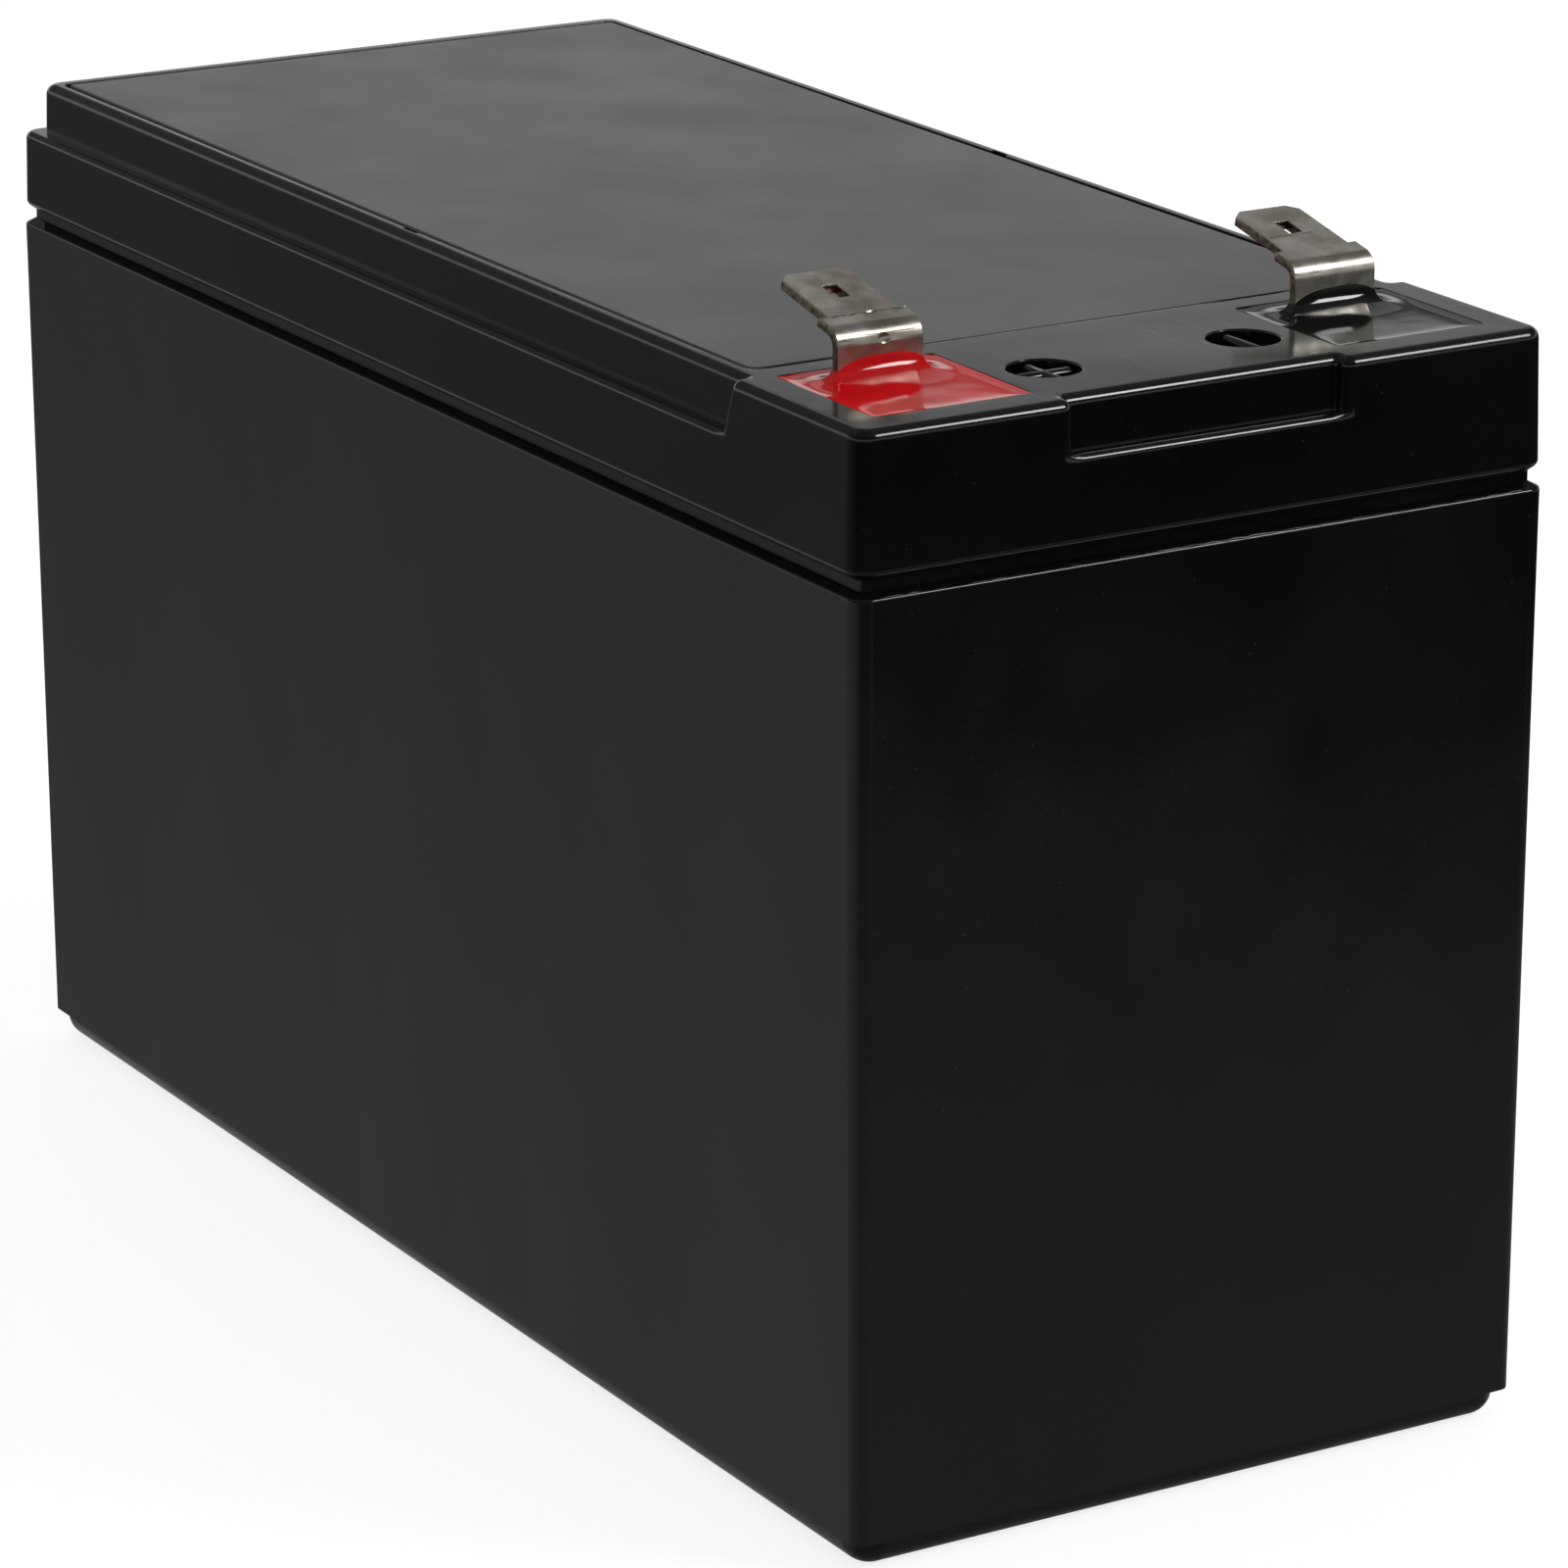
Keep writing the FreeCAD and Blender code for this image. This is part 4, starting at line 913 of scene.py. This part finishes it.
cover_plastic = finish("cover_plastic", COVER_BLACK, 0.3)
mottle = grain(cover_plastic, 12 * MM, 0.3, 0.7, detail=5.0)
feed(cover_plastic, scaled(cover_plastic, mottle, 0.27, 0.33), "Roughness")
bump(cover_plastic, grain(cover_plastic, 30 * MM, 0.2, 0.8, detail=1.0), 0.02 * MM)
bump(cover_plastic, grain(cover_plastic, 0.6 * MM, 0.2, 0.8), 0.0022 * MM)
bump(cover_plastic, grain(cover_plastic, 0.3 * MM, 0.68, 0.72, stretch=(3, 50, 3)), 0.004 * MM)
specks = grain(cover_plastic, 0.4 * MM, 0.76, 0.79, detail=1.0)
feed(cover_plastic, blend_colour(cover_plastic, specks, COVER_BLACK, DUST), "Base Color")
tell(cover_plastic)

# %% [markdown]
# ## Tinned strip and epoxy
# The strip is brass with a thin coat of tin. Rolling left fine lines along it, and air and
# fingers left warm stains. The punch cut through the coat, so the cut edges show the brass,
# dark with tarnish. The epoxy is as smooth as a liquid, so almost all of its look is
# reflection: at a low angle the red turns pink under the bright room.

# %% Tinned strip
TIN, STAIN = (0.56, 0.53, 0.47), (0.27, 0.23, 0.17)
BRASS, TARNISH = (0.34, 0.29, 0.17), (0.07, 0.055, 0.035)

tinned_strip = finish("tinned_strip", TIN, 0.3, metallic=1.0)
stains = grain(tinned_strip, 4.5 * MM, 0.42, 0.72, detail=5.0)
coat = blend_colour(tinned_strip, stains, TIN, STAIN)
bare_metal = blend_colour(tinned_strip, grain(tinned_strip, 0.5 * MM, 0.4, 0.6), BRASS, TARNISH)
cut_edge = scaled(tinned_strip, facing(tinned_strip, "Y"), 0, 0.85, 0.55, 0.9)
feed(tinned_strip, blend_colour(tinned_strip, cut_edge, coat, bare_metal), "Base Color")
feed(tinned_strip, scaled(tinned_strip, grain(tinned_strip, 1.6 * MM), 0.24, 0.40), "Roughness")
bump(tinned_strip, grain(tinned_strip, 0.12 * MM, 0.2, 0.8, stretch=(20, 1, 20)), 0.0014 * MM)
bump(tinned_strip, grain(tinned_strip, 2.2 * MM, 0.2, 0.8), 0.010 * MM)
tell(tinned_strip)

# %% Epoxy
RED, RED_DEEP = (0.56, 0.006, 0.007), (0.43, 0.003, 0.004)
EPOXY_BLACK = (0.004, 0.004, 0.004)

red_epoxy = finish("red_epoxy", RED, 0.07)
feed(red_epoxy, blend_colour(red_epoxy, grain(red_epoxy, 5 * MM), RED, RED_DEEP), "Base Color")
black_epoxy = finish("black_epoxy", EPOXY_BLACK, 0.07)
for made in (red_epoxy, black_epoxy):
    bump(made, grain(made, 3.5 * MM, 0.2, 0.8, detail=1.0), 0.02 * MM)
    feed(made, scaled(made, grain(made, 2.5 * MM), 0.05, 0.10), "Roughness")
    tell(made)

# %% [markdown]
# ## What the closed battery hides
# Anyone may open the model, so the hidden pieces get plain but true finishes: brown lead
# dioxide on the positive plates, grey spongy lead on the negative ones, white glass mats,
# rubber and set glue.

# %% Hidden pieces
def simple(name, dark, light, roughness, size, depth, metallic=0.0):
    """A finish with one grain in its colour and its surface."""
    made = finish(name, light, roughness, metallic=metallic)
    cloud = grain(made, size, detail=5.0)
    feed(made, blend_colour(made, cloud, dark, light), "Base Color")
    bump(made, cloud, depth)
    return made


finishes = {
    "case_plastic": case_plastic,
    "lid_plastic": lid_plastic,
    "cover_plastic": cover_plastic,
    "tinned_strip": tinned_strip,
    "red_epoxy": red_epoxy,
    "black_epoxy": black_epoxy,
    "case_glue": simple("case_glue", (0.10, 0.08, 0.05), (0.16, 0.13, 0.08), 0.35,
                        3 * MM, 0.02 * MM),
    "seal_rubber": simple("seal_rubber", (0.012, 0.012, 0.012), (0.03, 0.03, 0.03), 0.7,
                          MM, 0.01 * MM),
    "positive_lead": simple("positive_lead", (0.05, 0.022, 0.012), (0.10, 0.05, 0.03), 0.75,
                            1.5 * MM, 0.05 * MM),
    "negative_lead": simple("negative_lead", (0.11, 0.115, 0.125), (0.22, 0.225, 0.235), 0.6,
                            1.5 * MM, 0.05 * MM, metallic=0.6),
    "glass_mat": simple("glass_mat", (0.62, 0.62, 0.58), (0.82, 0.82, 0.79), 0.95,
                        0.6 * MM, 0.04 * MM),
}


def dress(piece, made):
    """Gives a piece one material."""
    piece.data.materials.clear()
    piece.data.materials.append(made)


for piece, name in ((lid, "lid_plastic"), (cover, "cover_plastic"), (flash, "case_plastic"),
                    (bpy.data.objects["positive_tab"], "tinned_strip"),
                    (bpy.data.objects["negative_tab"], "tinned_strip"),
                    (bpy.data.objects["positive_epoxy"], "red_epoxy"),
                    (bpy.data.objects["negative_epoxy"], "black_epoxy")):
    dress(piece, finishes[name])
for piece in frame["nodes"].values():
    dress(piece, finishes[piece.data.materials[0].name.split(".")[0]])
print("finishes:", len(finishes))

# %% [markdown]
# ## The camera
# The reference photograph was taken from some way off with a long lens, a little above the lid
# and facing the corner by the positive tab. The direction is given as two angles seen from the
# battery, so that it can be read and changed: the azimuth turns from -Y towards +X, and the
# elevation is how steeply the view looks down. A tenth of a degree of roll levels the picture.

# %% Camera
FOCAL_LENGTH, SENSOR_WIDTH = 155.97, 36
camera_data = bpy.data.cameras.new("camera")
camera = bpy.data.objects.new("camera", camera_data)
bpy.context.collection.objects.link(camera)
bpy.context.scene.camera = camera
azimuth, elevation, roll = math.radians(59.294), math.radians(17.678), math.radians(-0.096)
target = Vector((20.226, -6.075, 47.0)) * MM
distance = 582.9 * MM
back = Vector((math.sin(azimuth) * math.cos(elevation),
               -math.cos(azimuth) * math.cos(elevation), math.sin(elevation)))
camera_data.lens = FOCAL_LENGTH
camera_data.sensor_width = SENSOR_WIDTH
turn = (-back).to_track_quat("-Z", "Y").to_matrix().to_4x4()
camera.matrix_world = (Matrix.Translation(target + back * distance) @ turn
                       @ Matrix.Rotation(roll, 4, "Z"))
print(f"camera {1000 * distance:.0f} mm from its target")

# %% [markdown]
# ## The studio
# Black plastic shows only what it mirrors, so the room is built for its reflections, and each
# kind of ray sees a room of its own. The camera sees plain white. Soft light comes evenly from
# all round, at about the level at which a colour looks as it is written. A mirror sees a room
# graded by height: bright just above the horizon, which greys the cover, dim higher up, almost
# dark just under the horizon, which blackens the lid's edge, and dim again below that, which
# shows in the lower part of the end face. A faint glow from the left is added to it. A narrow
# soft box stands half-way up, off the terminal end, and draws the thin bright line along the
# lid's edge and over the bends. A wide and dim one behind the battery lifts the blades a little.

# %% Room: white for the camera, plain for colours, graded for mirrors
PLAIN_LEVEL, WHITE_LEVEL = 0.72, 1.0
FROM_THE_LEFT = (-0.86, -0.51, 0)
world = bpy.data.worlds.new("studio")
bpy.context.scene.world = world
world.use_nodes = True
world.cycles.sampling_method = "NONE"


def brightness(value, stops):
    """A soft scale of brightness along a value between minus one and one."""
    spread = node(world, "ShaderNodeMapRange", {"Value": value, "From Min": -1.0})
    ramp = node(world, "ShaderNodeValToRGB", {"Fac": spread.outputs["Result"]})
    marks = ramp.color_ramp.elements
    for place, _ in stops[1:-1]:
        marks.new((place + 1) / 2)
    for mark, (place, shade) in zip(marks, stops):
        mark.position = (place + 1) / 2
        mark.color = (shade, shade, shade, 1)
    return ramp.outputs["Color"]


way = node(world, "ShaderNodeTexCoord", {}).outputs["Generated"]
rise = node(world, "ShaderNodeSeparateXYZ", {"Vector": way}).outputs["Z"]
left = node(world, "ShaderNodeVectorMath", {0: way, 1: FROM_THE_LEFT},
            operation="DOT_PRODUCT").outputs["Value"]

# Each stop tells how far a ray points up or down, or to the left, and the brightness there.
height_scale = [(-1.0, 0.14), (-0.60, 0.16), (-0.45, 0.27), (-0.325, 0.22), (-0.295, 0.02),
                (-0.24, 0.015), (-0.05, 0.02), (0.04, 0.30), (0.12, 0.90), (0.185, 0.82),
                (0.235, 0.40), (0.270, 0.15), (0.33, 0.05), (0.62, 0.07), (0.80, 0.20),
                (1.0, 0.10)]
left_scale = [(-1.0, 0.0), (0.3, 0.0), (0.9, 0.12), (1.0, 0.12)]
mirrored = node(world, "ShaderNodeVectorMath",
                {0: brightness(rise, height_scale), 1: brightness(left, left_scale)},
                operation="ADD").outputs["Vector"]
ray = node(world, "ShaderNodeLightPath", {})
mirrors = node(world, "ShaderNodeBackground", {"Color": mirrored})
plain = node(world, "ShaderNodeBackground", {"Color": (1, 1, 1, 1), "Strength": PLAIN_LEVEL})
white = node(world, "ShaderNodeBackground", {"Color": (1, 1, 1, 1), "Strength": WHITE_LEVEL})
lit = node(world, "ShaderNodeMixShader", {0: ray.outputs["Is Diffuse Ray"],
                                          1: mirrors.outputs["Background"],
                                          2: plain.outputs["Background"]})
whole = node(world, "ShaderNodeMixShader", {0: ray.outputs["Is Camera Ray"],
                                            1: lit.outputs["Shader"],
                                            2: white.outputs["Background"]})
world.node_tree.links.new(whole.outputs["Shader"],
                          world.node_tree.nodes["World Output"].inputs["Surface"])
print("steps in the room's brightness:", len(height_scale))


# %% Lights
def soft_box(name, direction, distance, length, width, radiance):
    """A flat light that looks at the battery, as bright as asked, and not seen by the camera."""
    data = bpy.data.lights.new(name, "AREA")
    data.shape = "RECTANGLE"
    data.size, data.size_y = length, width
    data.energy = radiance * math.pi * length * width
    made = bpy.data.objects.new(name, data)
    bpy.context.collection.objects.link(made)
    direction = Vector(direction).normalized()
    made.matrix_world = (Matrix.Translation(direction * distance)
                         @ direction.to_track_quat("Z", "Y").to_matrix().to_4x4())
    made.visible_camera = False
    print(f"{name}: {data.energy:.2f} watts")


lamp_distance = 1.4
soft_box("strip", (0.58, 0.516, 0.63), lamp_distance, length=0.34, width=0.3, radiance=15)
soft_box("back", (-0.65, 0.516, 0.557), lamp_distance, length=0.8, width=0.55, radiance=0.35)

# %% [markdown]
# ## The floor
# The floor is grey paper that only the camera sees glow, so it looks white and still takes the
# battery's shadow, and it throws little light back on the sides. Mirrors don't see it: they
# see the room instead.

# %% Floor
PAPER, PAPER_GLOW = (0.30, 0.30, 0.30), 0.80
floor_radius = 4
bare()
bpy.ops.mesh.primitive_circle_add(vertices=96, radius=floor_radius, fill_type="NGON")
floor = bpy.context.object
floor.name = "floor"
paper = finish("paper", PAPER, 0.95, emission_color=(1, 1, 1, 1))
seen = node(paper, "ShaderNodeLightPath", {}).outputs["Is Camera Ray"]
feed(paper, scaled(paper, seen, 0, PAPER_GLOW), "Emission Strength")
dress(floor, paper)
floor.visible_glossy = False
tell(paper)

bpy.context.scene.view_settings.view_transform = "Standard"
